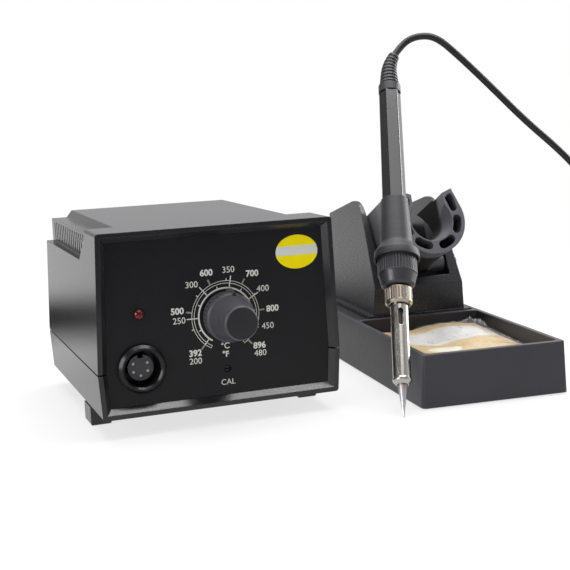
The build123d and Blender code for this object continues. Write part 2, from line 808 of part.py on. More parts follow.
with BuildPart() as stand_pads:
    with BuildSketch(stand_level(0)):
        with Locations(foot_pads):
            Circle(5.5)
    extrude(amount=stand_gap)
stand_pads.part.label = "stand_pads"
export_step(stand_pads.part, "parts/stand_pads.step")

# Tower: drafted shell on a plinth, with two cheeks and an open saddle between them
peak_b, peak_z = tower_peak
back_b, back_z = tower_back
tower_mid_b = (tower_front + tower_foot_back) / 2
tower_l = tower_foot_back - tower_front
mouth_lean = radians(mouth_tilt)
mouth_b = mouth_low[0] + mouth_r * sin(mouth_lean)
mouth_z = mouth_low[1] + mouth_r * cos(mouth_lean)
pivot_b = mouth_b + pivot_depth * cos(mouth_lean) - pivot_drop * sin(mouth_lean)
pivot_z = mouth_z - pivot_depth * sin(mouth_lean) - pivot_drop * cos(mouth_lean)
with BuildPart() as stand_tower:
    with BuildSketch(stand_side(tower_mid)):
        with BuildLine():
            Polyline(
                (tower_front, deck_z), (tower_front, tower_kink_z), tower_peak, tower_back,
                (tower_foot_back, deck_z), close=True,
            )
        make_face()
        fillet(vertices().group_by(Axis.Y)[-1], tower_round)
    extrude(amount=tower_half_low + 3, both=True)
    with BuildSketch(stand_level(deck_z, tower_mid, tower_mid_b)):
        Rectangle(2 * tower_half_low, 2 * tower_l)
    with BuildSketch(stand_level(peak_z, tower_mid, tower_mid_b)):
        Rectangle(2 * tower_half_high, 2 * tower_l)
    loft(mode=Mode.INTERSECT)
    with BuildSketch(stand_side(tower_mid)):
        Polygon(
            (tower_front + tower_wall, deck_z),
            (tower_front + tower_wall, tower_kink_z - 1),
            (peak_b + 1, peak_z - 4),
            (back_b - tower_wall, back_z - tower_wall),
            (tower_foot_back - tower_wall, deck_z),
            align=None,
        )
    extrude(amount=cheek_gap_half, both=True, mode=Mode.SUBTRACT)
    with BuildSketch(stand_side(tower_mid)):
        Polygon(
            (tower_front - 5, front_wall_top),
            (cheek_open_back, front_wall_top),
            (cheek_open_back, peak_z + 5),
            (tower_front - 5, peak_z + 5),
            align=None,
        )
    extrude(amount=cheek_gap_half, both=True, mode=Mode.SUBTRACT)
    with BuildSketch(stand_level(deck_z, tower_mid, tower_mid_b)):
        RectangleRounded(2 * tower_half_low + 5, tower_l + 4, 2)
        Rectangle(2 * cheek_gap_half, tower_l - 2 * tower_wall, mode=Mode.SUBTRACT)
    extrude(amount=plinth_z - deck_z)
    with BuildSketch(stand_level(deck_z)):
        with Locations(tower_screw_points):
            Circle(4)
    extrude(amount=12)
    with BuildSketch(stand_level(deck_z)):
        with Locations(tower_screw_points):
            Circle(screw_r)
    extrude(amount=9, mode=Mode.SUBTRACT)
    with BuildSketch(stand_side(tower_mid - cheek_gap_half - 3)):
        with Locations((pivot_b, pivot_z)):
            Circle(pivot_r)
    extrude(amount=2 * tower_half_low, mode=Mode.SUBTRACT)
    with BuildSketch(stand_side(tower_mid + pivot_seat)):
        with Locations((pivot_b, pivot_z)):
            Circle(5)
    extrude(amount=4, mode=Mode.SUBTRACT)
stand_tower.part.label = "stand_tower"
export_step(stand_tower.part, "parts/stand_tower.step")

with BuildPart() as tower_screws:
    with BuildSketch(stand_level(deck_z - base_wall)):
        with Locations(tower_screw_points):
            Circle(screw_head_r)
    extrude(amount=-2)
    with BuildSketch(stand_level(deck_z - base_wall)):
        with Locations(tower_screw_points):
            Circle(screw_r)
    extrude(amount=base_wall + 8)
tower_screws.part.label = "tower_screws"
export_step(tower_screws.part, "parts/tower_screws.step")

# Receptacle: collar with two horns, funnel, guide tube, pockets, side channel and cross boss
mouth_back = stand_back * cos(mouth_lean) - Vector(0, 0, sin(mouth_lean))
mouth_centre = stand_point(tower_mid, mouth_b, mouth_z)


def mouth_plane(depth):
    """Plane across the funnel at a depth behind its mouth, facing out: local y up the mouth."""
    return Plane(origin=mouth_centre + mouth_back * depth, x_dir=stand_across, z_dir=mouth_back * -1)


def seen_from_side(depth, up):
    """Place in the stand's side plane of a point behind the mouth and up from the bore's axis."""
    b = mouth_b + depth * cos(mouth_lean) + up * sin(mouth_lean)
    return (b, mouth_z - depth * sin(mouth_lean) + up * cos(mouth_lean))


def trough(radius, top):
    """Outline open upwards: half a circle below, straight sides up to the top."""
    ThreePointArc((-radius, 0), (0, -radius), (radius, 0))
    Polyline((radius, 0), (radius, top), (-radius, top), (-radius, 0))


flank = (mouth_r * cos(radians(flank_angle)), mouth_r * sin(radians(flank_angle)))
pocket_mid_r = (pocket_inner_r + pocket_outer_r) / 2
pocket_arcs = [CenterArc((0, 0), pocket_mid_r, a - pocket_span / 2, pocket_span) for a in pocket_angles]
with BuildPart() as guide_tube:
    with BuildSketch(mouth_plane(collar_l - 1)):
        with BuildLine():
            trough(guide_r, guide_top)
        make_face()
    extrude(amount=-(guide_cut[-1][0] - collar_l + 1))
    with BuildSketch(stand_side(tower_mid)):
        cut_line = [seen_from_side(*p) for p in guide_cut]
        Polygon(*cut_line, seen_from_side(60, 16.2), seen_from_side(60, -13.0), align=None)
    extrude(amount=channel_r, both=True, mode=Mode.SUBTRACT)
with BuildPart() as iron_receptacle:
    with BuildSketch(mouth_plane(collar_l - 2)):
        with BuildLine():
            trough(channel_r, channel_top)
        make_face()
    extrude(amount=-(channel_l - collar_l + 2))
    with BuildSketch(mouth_plane(collar_l)):
        with BuildLine():
            trough(channel_r - channel_wall, channel_top + 1)
        make_face()
    extrude(amount=-channel_l, mode=Mode.SUBTRACT)
    with BuildSketch(mouth_plane(collar_l - 3)):
        with Locations((0, mouth_r + horn_root[1])):
            Rectangle(2 * (channel_r - channel_wall), 2 * mouth_r)
    extrude(amount=-3.5, mode=Mode.SUBTRACT)
    with BuildSketch(mouth_plane(0)):
        with BuildLine():
            ThreePointArc((-flank[0], flank[1]), (0, -mouth_r), flank)
            Polyline(
                flank, horn, horn_root,
                (-horn_root[0], horn_root[1]), (-horn[0], horn[1]), (-flank[0], flank[1]),
            )
        make_face()
    extrude(amount=-collar_l, taper=collar_taper)
    add(guide_tube.part)
    with BuildSketch(stand_side(tower_mid)):
        with Locations((pivot_b, pivot_z)):
            Circle(boss_r)
    extrude(amount=cheek_gap_half - 0.3, both=True)
    with BuildSketch(mouth_plane(0)):
        Circle(funnel_r)
    with BuildSketch(mouth_plane(funnel_depth)):
        Circle(throat_r)
    loft(mode=Mode.SUBTRACT)
    with BuildSketch(mouth_plane(-1)):
        with BuildLine():
            trough(throat_r, 2 * mouth_r)
        make_face()
    extrude(amount=-channel_l - 2, mode=Mode.SUBTRACT)
    with BuildSketch(mouth_plane(0)):
        for arc in pocket_arcs:
            SlotArc(arc, pocket_outer_r - pocket_inner_r)
    extrude(amount=-pocket_depth, mode=Mode.SUBTRACT)
    with BuildSketch(mouth_plane(0)):
        Polygon(*horn_pocket, align=None)
        Polygon(*[(-x, y) for x, y in horn_pocket], align=None)
        fillet(vertices(), horn_pocket_round)
    extrude(amount=-pocket_depth, mode=Mode.SUBTRACT)
    with BuildSketch(stand_side(tower_mid)):
        with Locations((pivot_b, pivot_z)):
            Circle(pivot_r + running)
    extrude(amount=cheek_gap_half, both=True, mode=Mode.SUBTRACT)
iron_receptacle.part.label = "iron_receptacle"
export_step(iron_receptacle.part, "parts/iron_receptacle.step")

# Pivot screw of the receptacle, blind in the left cheek, its slotted head outside the right one
with BuildPart() as receptacle_pivot:
    with BuildSketch(stand_side(tower_mid - cheek_gap_half - 3)):
        with Locations((pivot_b, pivot_z)):
            Circle(pivot_r)
    extrude(amount=cheek_gap_half + 3 + pivot_seat)
    with BuildSketch(stand_side(tower_mid + pivot_seat)):
        with Locations((pivot_b, pivot_z)):
            Circle(4.6)
    extrude(amount=2.6)
    with BuildSketch(stand_side(tower_mid + pivot_seat + 2.6)):
        with Locations((pivot_b, pivot_z)):
            Rectangle(10, 1.2)
    extrude(amount=-1.2, mode=Mode.SUBTRACT)
receptacle_pivot.part.label = "receptacle_pivot"
export_step(receptacle_pivot.part, "parts/receptacle_pivot.step")

# Cleaning sponge in its packet: drawn in at the bottom, crowned at the top
sponge_mid = (well_front + well_back) / 2
with BuildPart() as cleaning_sponge:
    for height, shrink in ((0, 2.5), (2.5, 0.4), (6.5, 0), (10.5, 1.6), (12.6, 5.0), (13.6, 12.0)):
        with BuildSketch(stand_level(well_floor + height, stand_mid, sponge_mid)):
            RectangleRounded(sponge_w - 2 * shrink, sponge_l - 2 * shrink, 4)
    loft(ruled=True)
cleaning_sponge.part.label = "cleaning_sponge"
export_step(cleaning_sponge.part, "parts/cleaning_sponge.step")

# Directions of the iron
lean = radians(iron_lean)
heading = radians(iron_heading)
iron_axis = Vector(sin(lean) * cos(heading), sin(lean) * sin(heading), cos(lean))
iron_side = Vector(sin(heading), -cos(heading), 0)
iron_profile = turning_plane(tip_point, iron_axis, iron_side)
iron_turn = Axis(tip_point, iron_axis)


def iron_at(t):
    """Plane across the iron at a distance from the point of its tip."""
    return Plane(origin=tip_point + iron_axis * t, x_dir=iron_side, z_dir=iron_axis)


# Tip: cone, shank and hollow foot over the heating element
with BuildPart() as soldering_tip:
    with BuildSketch(iron_profile):
        Polygon(
            (0, 0), (0.35, 0), (0.5, 1.2), (2.35, 15.6), (2.35, shoulder_t),
            (3.2, shoulder_t), (3.2, 44), (element_r, 44), (element_r, 24), (0, 22.5), align=None,
        )
    revolve(axis=iron_turn)
soldering_tip.part.label = "soldering_tip"
export_step(soldering_tip.part, "parts/soldering_tip.step")

# Heating element, from inside the tip back to the terminal board
with BuildPart() as heating_element:
    with BuildSketch(iron_at(24)):
        Circle(element_r)
    extrude(amount=terminal_t - 24)
heating_element.part.label = "heating_element"
export_step(heating_element.part, "parts/heating_element.step")

# Enclosure tube: beaded end round the tip, four slots, flange under the nut
with BuildPart() as tip_enclosure:
    with BuildSketch(iron_profile):
        Polygon(
            (2.7, 16.3), (3.2, 16.3), (4.6, 18.0), (4.75, 18.4), (4.75, 19.2), (enclosure_r, 19.6),
            (enclosure_r, 62), (5.6, 62), (5.6, nose_t), (enclosure_bore_r, nose_t),
            (enclosure_bore_r, shoulder_t), (2.7, shoulder_t), align=None,
        )
    revolve(axis=iron_turn)
    for slot_angle in (slot_turn, slot_turn + 90):
        turned = radians(slot_angle)
        slot_dir = iron_axis.cross(iron_side) * -cos(turned) + iron_side * sin(turned)
        slot_plane = Plane(origin=tip_point + iron_axis * slot_t, x_dir=iron_axis, z_dir=slot_dir)
        with BuildSketch(slot_plane):
            SlotOverall(9.0, 2.6)
        extrude(amount=6, both=True, mode=Mode.SUBTRACT)
tip_enclosure.part.label = "tip_enclosure"
export_step(tip_enclosure.part, "parts/tip_enclosure.step")

# Enclosure nut, knurled, turning on the nose of the nipple
with BuildPart() as enclosure_nut:
    with BuildSketch(iron_profile):
        Polygon(
            (enclosure_r + 0.4, 57.8), (5.9, 57.8), (nut_r, 59), (nut_r, 66.3), (nut_r - 0.6, 67.2),
            (6.0, 67.2), (6.0, 61.6), (enclosure_r + 0.4, 61.6), align=None,
        )
    revolve(axis=iron_turn)
    with BuildSketch(iron_at(59.6)):
        with PolarLocations(nut_r + 0.15, 28):
            RegularPolygon(0.6, 4)
    extrude(amount=6.2, mode=Mode.SUBTRACT)
enclosure_nut.part.label = "enclosure_nut"
export_step(enclosure_nut.part, "parts/enclosure_nut.step")

# Nipple: nose for the nut, smooth taper, knurled band and the spigot inside the handle
with BuildPart() as nipple:
    with BuildSketch(iron_profile):
        Polygon(
            (4.0, nose_t), (5.6, nose_t), (5.6, 67.6), (7.6, 67.6), (8.4, 68.6), (nipple_r - 0.4, 73.8),
            (nipple_r, 74.4), (nipple_r, 83.2), (nipple_r - 0.8, 84.0), (tube_bore_r, 84.0),
            (tube_bore_r, 96), (3.4, 96), (3.4, 72), (4.0, 72), align=None,
        )
    revolve(axis=iron_turn)
    with BuildSketch(iron_at(74.8)):
        with PolarLocations(nipple_r + 0.2, 40):
            RegularPolygon(0.65, 4)
    extrude(amount=8.0, mode=Mode.SUBTRACT)
nipple.part.label = "nipple"
export_step(nipple.part, "parts/nipple.step")

# Grip: thin flared skirt over the knurled band and a tapered sleeve over the handle tube
with BuildPart() as handle_grip:
    with BuildSketch(iron_profile):
        Polygon(
            (tube_low_r + 0.1, 85.4), (9.6, 85.4), (10.9, 82.6), (flange_r - 0.2, 82.6), (flange_r, 83.3),
            (8.6, 89.3), (8.25, 91.0), (7.05, grip_end - 0.2), (6.95, grip_end),
            (tube_low_r - 0.13, grip_end), align=None,
        )
    revolve(axis=iron_turn)
handle_grip.part.label = "handle_grip"
export_step(handle_grip.part, "parts/handle_grip.step")

# Handle tube: six flats, slightly tapered, hollow
with BuildPart() as handle_tube:
    with BuildSketch(iron_at(tube_start)):
        RegularPolygon(tube_low_r, 6, rotation=10)
    with BuildSketch(iron_at(tube_end)):
        RegularPolygon(tube_high_r, 6, rotation=10)
    loft(ruled=True)
    long_edges = [e for e in handle_tube.edges() if e.length > 50]
    fillet(long_edges, 0.8)
    with BuildSketch(iron_at(tube_start)):
        Circle(tube_bore_r)
    extrude(amount=tube_end - tube_start, mode=Mode.SUBTRACT)
handle_tube.part.label = "handle_tube"
export_step(handle_tube.part, "parts/handle_tube.step")

# Terminal board inside the handle, where the element's leads meet the cord
with BuildPart() as terminal_board:
    with BuildSketch(iron_at(terminal_t)):
        Rectangle(7.6, 1.6)
        Circle(element_r)
    extrude(amount=34)
terminal_board.part.label = "terminal_board"
export_step(terminal_board.part, "parts/terminal_board.step")


# Cord boot: collar on the handle and ribs along a bend towards the cord
boot_straight = boot_straight_end - collar_end
boot_length = boot_straight + boot_bend_r * radians(boot_bend)


def boot_plane(s):
    """Plane across the boot at a distance past its collar, straight first and then round the bend."""
    angle = max(0.0, s - boot_straight) / boot_bend_r
    along = iron_axis * cos(angle) + iron_side * sin(angle)
    centre = tip_point + iron_axis * (collar_end + min(s, boot_straight) + boot_bend_r * sin(angle))
    centre = centre + iron_side * boot_bend_r * (1 - cos(angle))
    return Plane(origin=centre, x_dir=iron_side * cos(angle) - iron_axis * sin(angle), z_dir=along)


rib_pitch = boot_length / boot_ribs
with BuildPart() as cord_boot:
    with BuildSketch(iron_profile):
        Polygon(
            (0, 176), (tube_bore_r, 176), (tube_bore_r, tube_end), (tube_high_r, tube_end),
            (tube_high_r, collar_end - 0.6), (boot_low_r, collar_end), (0, collar_end), align=None,
        )
    revolve(axis=iron_turn)
    for rib in range(boot_ribs):
        for part_of_rib, sink in ((0.0, boot_groove), (0.22, boot_groove), (0.36, 0.0), (0.86, 0.0)):
            s = (rib + part_of_rib) * rib_pitch
            with BuildSketch(boot_plane(s)):
                Circle(boot_low_r + (boot_high_r - boot_low_r) * s / boot_length - sink)
    with BuildSketch(boot_plane(boot_length)):
        Circle(boot_high_r - 0.1)
    loft(ruled=True)
cord_boot.part.label = "cord_boot"
export_step(cord_boot.part, "parts/cord_boot.step")

# Cord: one tube along straight runs with tangent arcs, from the boot to the coil on the table
boot_end = boot_plane(boot_length)
cord_route = [
    boot_end.origin,
    boot_end.origin + boot_end.z_dir * 8,
    Vector(78.06, 1.8, 183.5),
    Vector(87.96, -2.9, 183.1),
    Vector(99.26, -7.4, 172.5),
    Vector(115.26, -13.7, 155.6),
    Vector(133.76, -20.8, 135.3),
    Vector(151.76, -27.8, 118.2),
    Vector(164.26, -32.6, 103.5),
    Vector(174.26, -36.6, 85.0),
    Vector(181.26, -39.4, 62.5),
    Vector(186.26, -41.4, 39.0),
    Vector(191.26, -43.6, 18.5),
    Vector(196.76, -46.7, 7.5),
    Vector(202.76, -53.2, coil_z),
    Vector(206.76, -61.2, coil_z),
]
cord_runs = [b - a for a, b in zip(cord_route, cord_route[1:])]
cord_radii = []
for before, after in zip(cord_runs, cord_runs[1:]):
    half_turn = radians(before.get_angle(after)) / 2
    cord_radii.append(0.45 * min(before.length, after.length) / tan(half_turn))
print("cord bend radii:", [round(r, 1) for r in cord_radii])
with BuildPart() as iron_cord:
    with BuildLine() as cord_line:
        FilletPolyline(*cord_route, radius=cord_radii)
    with BuildSketch(Plane(origin=cord_route[0], z_dir=boot_end.z_dir)):
        Circle(cord_r)
    sweep(path=cord_line.wire())
cord_length = cord_line.wire().length
print("cord length:", round(cord_length, 1))
print("cord volume:", round(iron_cord.part.volume, 1), "against", round(pi * cord_r**2 * cord_length, 1))
iron_cord.part.label = "iron_cord"
export_step(iron_cord.part, "parts/iron_cord.step")

# Put-away coil: the same cord wound inwards on the table, up, and outwards on top
coil_out_r = coil_in_r + coil_step * coil_turns
all_turns = 2 * coil_turns + 0.5
coil_start = cord_route[-1]
coil_entry = cord_runs[-1].normalized()
coil_phase = atan2(coil_entry.X, -coil_entry.Y)
coil_first = coil_start + coil_entry * 4
coil_centre = coil_first - Vector(coil_out_r * cos(coil_phase), coil_out_r * sin(coil_phase), coil_z)


def eased(share):
    """Smooth step from 0 to 1."""
    share = min(1.0, max(0.0, share))
    return share * share * (3 - 2 * share)


def coil_point(turns):
    """Point of the coil's middle line after a number of turns."""
    if turns <= coil_turns:
        radius = coil_out_r - coil_step * turns
    elif turns <= coil_turns + 0.5:
        radius = coil_in_r
    else:
        radius = coil_in_r + coil_step * (turns - coil_turns - 0.5)
    rise = coil_layer * eased((turns - coil_turns) / 0.5)
    rise += (plug_axis_z - coil_z - coil_layer) * eased((turns - all_turns + 0.5) / 0.5)
    angle = coil_phase - 2 * pi * turns
    return coil_centre + Vector(radius * cos(angle), radius * sin(angle), coil_z + rise)


def coil_heading(turns):
    """Direction of the coil's middle line after a number of turns."""
    angle = coil_phase - 2 * pi * turns
    if turns < 0.01 or turns > all_turns - 0.01:
        return Vector(sin(angle), -cos(angle), 0)
    return (coil_point(turns + 0.01) - coil_point(turns - 0.01)).normalized()


coil_stops = [all_turns * i / (4 * round(all_turns)) for i in range(4 * round(all_turns) + 1)]
coil_exit = coil_heading(all_turns)
coil_last = coil_point(all_turns)
with BuildPart() as cord_coil:
    with BuildLine() as coil_line:
        Line(coil_start, coil_first)
        for here, there in zip(coil_stops, coil_stops[1:]):
            p0 = coil_point(here)
            p1 = coil_point(there)
            t0 = coil_heading(here)
            t1 = coil_heading(there)
            chord = p1 - p0
            both = t0 + t1
            spread = 2 * (1 - t0.dot(t1))
            reach = (-chord.dot(both) + sqrt(chord.dot(both) ** 2 + spread * chord.dot(chord))) / spread
            join = (p0 + t0 * reach + p1 - t1 * reach) * 0.5
            first_arc = TangentArc(p0, join, tangent=t0)
            TangentArc(join, p1, tangent=first_arc % 1)
        Line(coil_last, coil_last + coil_exit * 4)
    with BuildSketch(Plane(origin=coil_start, z_dir=coil_entry)):
        Circle(cord_r)
    sweep(path=coil_line.wire())
coil_length = coil_line.wire().length
coil_samples = [coil_line.wire().position_at(i / 700) for i in range(701)]
apart = round(700 * 25 / coil_length)
least = min(
    (coil_samples[i] - coil_samples[j]).length for i in range(701) for j in range(i + apart, 701)
)
print("coil length:", round(coil_length, 1), "least gap:", round(least - 2 * cord_r, 2))
print("coil volume:", round(cord_coil.part.volume, 1), "against", round(pi * cord_r**2 * coil_length, 1))
cord_coil.part.label = "cord_coil"
export_step(cord_coil.part, "parts/cord_coil.step")

# Tie round the coil, opposite its start
tie_angle = coil_phase + pi
tie_plane = turning_plane(coil_centre, (0, 0, 1), (cos(tie_angle), sin(tie_angle), 0))
tie_low_r = coil_in_r - cord_r - 0.9
tie_high_r = coil_out_r - coil_step * 0.5 + cord_r + 0.3
tie_top = coil_z + coil_layer + cord_r + 0.1
tie_band = tie_t - 0.1
with BuildPart() as coil_tie:
    with BuildSketch(tie_plane):
        with Locations(((tie_low_r + tie_high_r) / 2, (tie_band + tie_top) / 2)):
            Rectangle(tie_high_r - tie_low_r + 2 * tie_band, tie_top + tie_band)
            Rectangle(tie_high_r - tie_low_r, tie_top - tie_band, mode=Mode.SUBTRACT)
    extrude(amount=tie_w / 2, both=True)
coil_tie.part.label = "coil_tie"
export_step(coil_tie.part, "parts/coil_tie.step")

# Plug at the end of the coil: boot, shell, insert, pins and lock ring
plug_origin = coil_last + coil_exit * 4
plug_side = Vector(coil_exit.Y, -coil_exit.X, 0)
plug_profile = turning_plane(plug_origin, coil_exit, plug_side)
plug_turn = Axis(plug_origin, coil_exit)


def plug_at(h):
    """Plane across the plug at a distance from the end of the cord."""
    return Plane(origin=plug_origin + coil_exit * h, x_dir=plug_side, z_dir=coil_exit)


with BuildPart() as plug_boot:
    with BuildSketch(plug_profile):
        Polygon(
            (0, 0), (2.5, 0), (2.9, 3), (2.5, 3.4), (3.3, 6.4), (2.9, 6.8), (3.8, 9.8), (3.4, 10.2),
            (4.4, 13.2), (4.4, 20), (0, 20), align=None,
        )
    revolve(axis=plug_turn)
plug_boot.part.label = "plug_boot"
export_step(plug_boot.part, "parts/plug_boot.step")

with BuildPart() as plug_shell:
    with BuildSketch(plug_profile):
        Polygon(
            (4.4, 15), (6.2, 15), (plug_shell_r, 17), (plug_shell_r, 32), (6.4, 32), (6.4, 47),
            (5.6, 47), (5.6, 22), (0, 22), (0, 20), (4.4, 20), align=None,
        )
    revolve(axis=plug_turn)
plug_shell.part.label = "plug_shell"
export_step(plug_shell.part, "parts/plug_shell.step")

with BuildPart() as plug_insert:
    with BuildSketch(plug_at(34)):
        Circle(5.6)
        with Locations(contact_points):
            Circle(0.8, mode=Mode.SUBTRACT)
    extrude(amount=4)
plug_insert.part.label = "plug_insert"
export_step(plug_insert.part, "parts/plug_insert.step")

with BuildPart() as plug_pins:
    with BuildSketch(plug_at(31)):
        with Locations(contact_points):
            Circle(0.8)
    extrude(amount=14)
plug_pins.part.label = "plug_pins"
export_step(plug_pins.part, "parts/plug_pins.step")

with BuildPart() as plug_lock_ring:
    with BuildSketch(plug_at(32.4)):
        Circle(plug_ring_r)
        Circle(6.75, mode=Mode.SUBTRACT)
    extrude(amount=9)
    with BuildSketch(plug_at(33.6)):
        with PolarLocations(plug_ring_r + 0.2, 28):
            RegularPolygon(0.7, 4)
    extrude(amount=6.6, mode=Mode.SUBTRACT)
plug_lock_ring.part.label = "plug_lock_ring"
export_step(plug_lock_ring.part, "parts/plug_lock_ring.step")
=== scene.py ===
import math

import bpy
from mathutils import Matrix, Vector, noise


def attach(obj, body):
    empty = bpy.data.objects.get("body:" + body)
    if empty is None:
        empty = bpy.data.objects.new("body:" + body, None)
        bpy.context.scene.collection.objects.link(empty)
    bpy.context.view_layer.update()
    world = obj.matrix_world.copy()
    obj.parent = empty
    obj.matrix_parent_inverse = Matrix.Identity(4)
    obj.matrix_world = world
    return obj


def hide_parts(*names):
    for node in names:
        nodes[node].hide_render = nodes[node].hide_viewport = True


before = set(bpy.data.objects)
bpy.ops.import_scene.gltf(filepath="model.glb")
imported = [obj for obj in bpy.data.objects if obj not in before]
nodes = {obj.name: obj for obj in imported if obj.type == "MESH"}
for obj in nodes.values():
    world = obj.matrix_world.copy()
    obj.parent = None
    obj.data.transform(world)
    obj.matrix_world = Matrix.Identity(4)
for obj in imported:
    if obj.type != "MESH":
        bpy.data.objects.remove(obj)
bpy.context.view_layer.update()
ROOT = "station_and_stand"
MM = 0.001
UP = Vector((0, 0, 1))


def srgb(r, g, b):
    """Linear colour from 8-bit sRGB values."""
    def one(c):
        c /= 255.0
        return c / 12.92 if c <= 0.04045 else ((c + 0.055) / 1.055) ** 2.4
    return (one(r), one(g), one(b), 1.0)


def shade(colour, factor):
    """Colour made darker or lighter by a factor."""
    return tuple(min(1.0, c * factor) for c in colour[:3]) + (1.0,)


def linked(name, data):
    """New object in the scene."""
    made = bpy.data.objects.new(name, data)
    bpy.context.scene.collection.objects.link(made)
    return made


# Camera, solved from the photograph
PHOTO_WIDTH = 570.0      # pixels
FOCAL = 1176.97          # pixels
SENSOR = 36.0            # millimetres
CAMERA_AT = Vector((-226.991, -588.896, 155.37))
yaw, pitch, roll = 0.361323, 0.161771, -0.0370519
ahead = Vector((math.sin(yaw), math.cos(yaw), 0))
rightward = Vector((math.cos(yaw), -math.sin(yaw), 0))
forward = ahead * math.cos(pitch) - UP * math.sin(pitch)
upward = UP * math.cos(pitch) + ahead * math.sin(pitch)
cam_right = rightward * math.cos(roll) + upward * math.sin(roll)
cam_up = upward * math.cos(roll) - rightward * math.sin(roll)
camera_data = bpy.data.cameras.new("camera")
camera = linked("camera", camera_data)
turn = Matrix((cam_right, cam_up, -forward)).transposed().to_4x4()
camera.matrix_world = Matrix.Translation(CAMERA_AT * MM) @ turn
camera_data.sensor_fit = "HORIZONTAL"
camera_data.sensor_width = SENSOR
camera_data.lens = FOCAL * SENSOR / PHOTO_WIDTH
camera_data.clip_start = 0.01
camera_data.clip_end = 20.0
bpy.context.scene.camera = camera

# Places and directions shared by materials and shapes, in millimetres
STATION = Vector((-63.42, -69.88, 0.0))     # middle of the box, at its front rim
STAND = Vector((30.26, -92.1, 0.0))         # front left corner of the stand's base
STAND_TOP = 27.2
TOWER_MID = 43.0
stand_turn = math.radians(-4.15)
stand_across = Vector((math.cos(stand_turn), math.sin(stand_turn), 0))
stand_back = Vector((-math.sin(stand_turn), math.cos(stand_turn), 0))
mouth_lean = math.radians(24.4)
mouth_back = stand_back * math.cos(mouth_lean) - Vector((0, 0, math.sin(mouth_lean)))
lean, heading = math.radians(33.0), math.radians(65.9)
iron_axis = Vector((math.sin(lean) * math.cos(heading), math.sin(lean) * math.sin(heading), math.cos(lean)))
iron_side = Vector((math.sin(heading), -math.cos(heading), 0))
tip_point = Vector((16.53, -98.57, 0.25))


def on_stand(a, b, z):
    """Point in metres from the stand's frame: across, back and up from its corner, in millimetres."""
    return (STAND + stand_across * a + stand_back * b + Vector((0, 0, z))) * MM


mouth_at = on_stand(TOWER_MID, 84.0, 83.4) / MM

# Materials
BEVEL_SAMPLES = 4
EDGE = 0.0005            # radius of an eased edge, in metres
FINE_DEPTH = 0.00006     # depth of fine grain, in metres
FADE = 0.0003            # height over which the sole's colour fades, in metres
CREST_FADE = 0.0007
DUST_GREY = srgb(150, 148, 143)
SOLE_BLACK = srgb(14, 14, 15)
# grey of the painted highlight along the top of a crest
CREST_HIGHLIGHT_GREY = srgb(84, 84, 88)


def start(name):
    """New material with its tree, its shader and the object's coordinates."""
    material = bpy.data.materials.new(name)
    material.use_nodes = True
    tree = material.node_tree
    coord = tree.nodes.new("ShaderNodeTexCoord").outputs["Object"]
    return material, tree, tree.nodes["Principled BSDF"], coord


def feed(tree, socket, value):
    """Link a socket to an output, or set it to a plain value."""
    if hasattr(value, "is_linked"):
        tree.links.new(value, socket)
    else:
        socket.default_value = value


def noise_of(tree, coord, scale, detail=3.0, roughness=0.55, stretch=None):
    """Noise over a coordinate, turned and stretched first if asked for."""
    made = tree.nodes.new("ShaderNodeTexNoise")
    made.inputs["Scale"].default_value = scale
    made.inputs["Detail"].default_value = detail
    made.inputs["Roughness"].default_value = roughness
    if stretch is None:
        tree.links.new(coord, made.inputs["Vector"])
    else:
        mapping = tree.nodes.new("ShaderNodeMapping")
        mapping.inputs["Rotation"].default_value = stretch[0]
        mapping.inputs["Scale"].default_value = stretch[1]
        tree.links.new(coord, mapping.inputs["Vector"])
        tree.links.new(mapping.outputs["Vector"], made.inputs["Vector"])
    return made.outputs["Fac"]


def mixed(tree, share, first, second):
    """Blend of two colours by a share."""
    mix = tree.nodes.new("ShaderNodeMix")
    mix.data_type = "RGBA"
    tree.links.new(share, mix.inputs["Factor"])
    feed(tree, mix.inputs[6], first)
    feed(tree, mix.inputs[7], second)
    return mix.outputs[2]


def ranged(tree, value, low_in, high_in, low, high):
    """Value mapped from one range to another, held at the ends."""
    made = tree.nodes.new("ShaderNodeMapRange")
    tree.links.new(value, made.inputs["Value"])
    for key, number in (("From Min", low_in), ("From Max", high_in), ("To Min", low), ("To Max", high)):
        made.inputs[key].default_value = number
    return made.outputs["Result"]


def maths(tree, operation, *values):
    made = tree.nodes.new("ShaderNodeMath")
    made.operation = operation
    for socket, value in zip(made.inputs, values):
        feed(tree, socket, value)
    return made.outputs[0]


def vectors(tree, operation, first, second=None):
    made = tree.nodes.new("ShaderNodeVectorMath")
    made.operation = operation
    tree.links.new(first, made.inputs[0])
    if second is not None:
        made.inputs[1].default_value = second
    return made.outputs["Value" if operation in ("LENGTH", "DISTANCE", "DOT_PRODUCT") else "Vector"]


def axes(tree, vector):
    """X, Y and Z outputs of a vector."""
    made = tree.nodes.new("ShaderNodeSeparateXYZ")
    tree.links.new(vector, made.inputs["Vector"])
    return made.outputs


def relief(tree, bsdf, height, strength, distance, edge=0.0):
    """Bump from a height, over eased edges if they have a radius."""
    bump = tree.nodes.new("ShaderNodeBump")
    bump.inputs["Strength"].default_value = strength
    bump.inputs["Distance"].default_value = distance
    tree.links.new(height, bump.inputs["Height"])
    if edge > 0:
        bevel = tree.nodes.new("ShaderNodeBevel")
        bevel.samples = BEVEL_SAMPLES
        bevel.inputs["Radius"].default_value = edge
        tree.links.new(bevel.outputs["Normal"], bump.inputs["Normal"])
    tree.links.new(bump.outputs["Normal"], bsdf.inputs["Normal"])


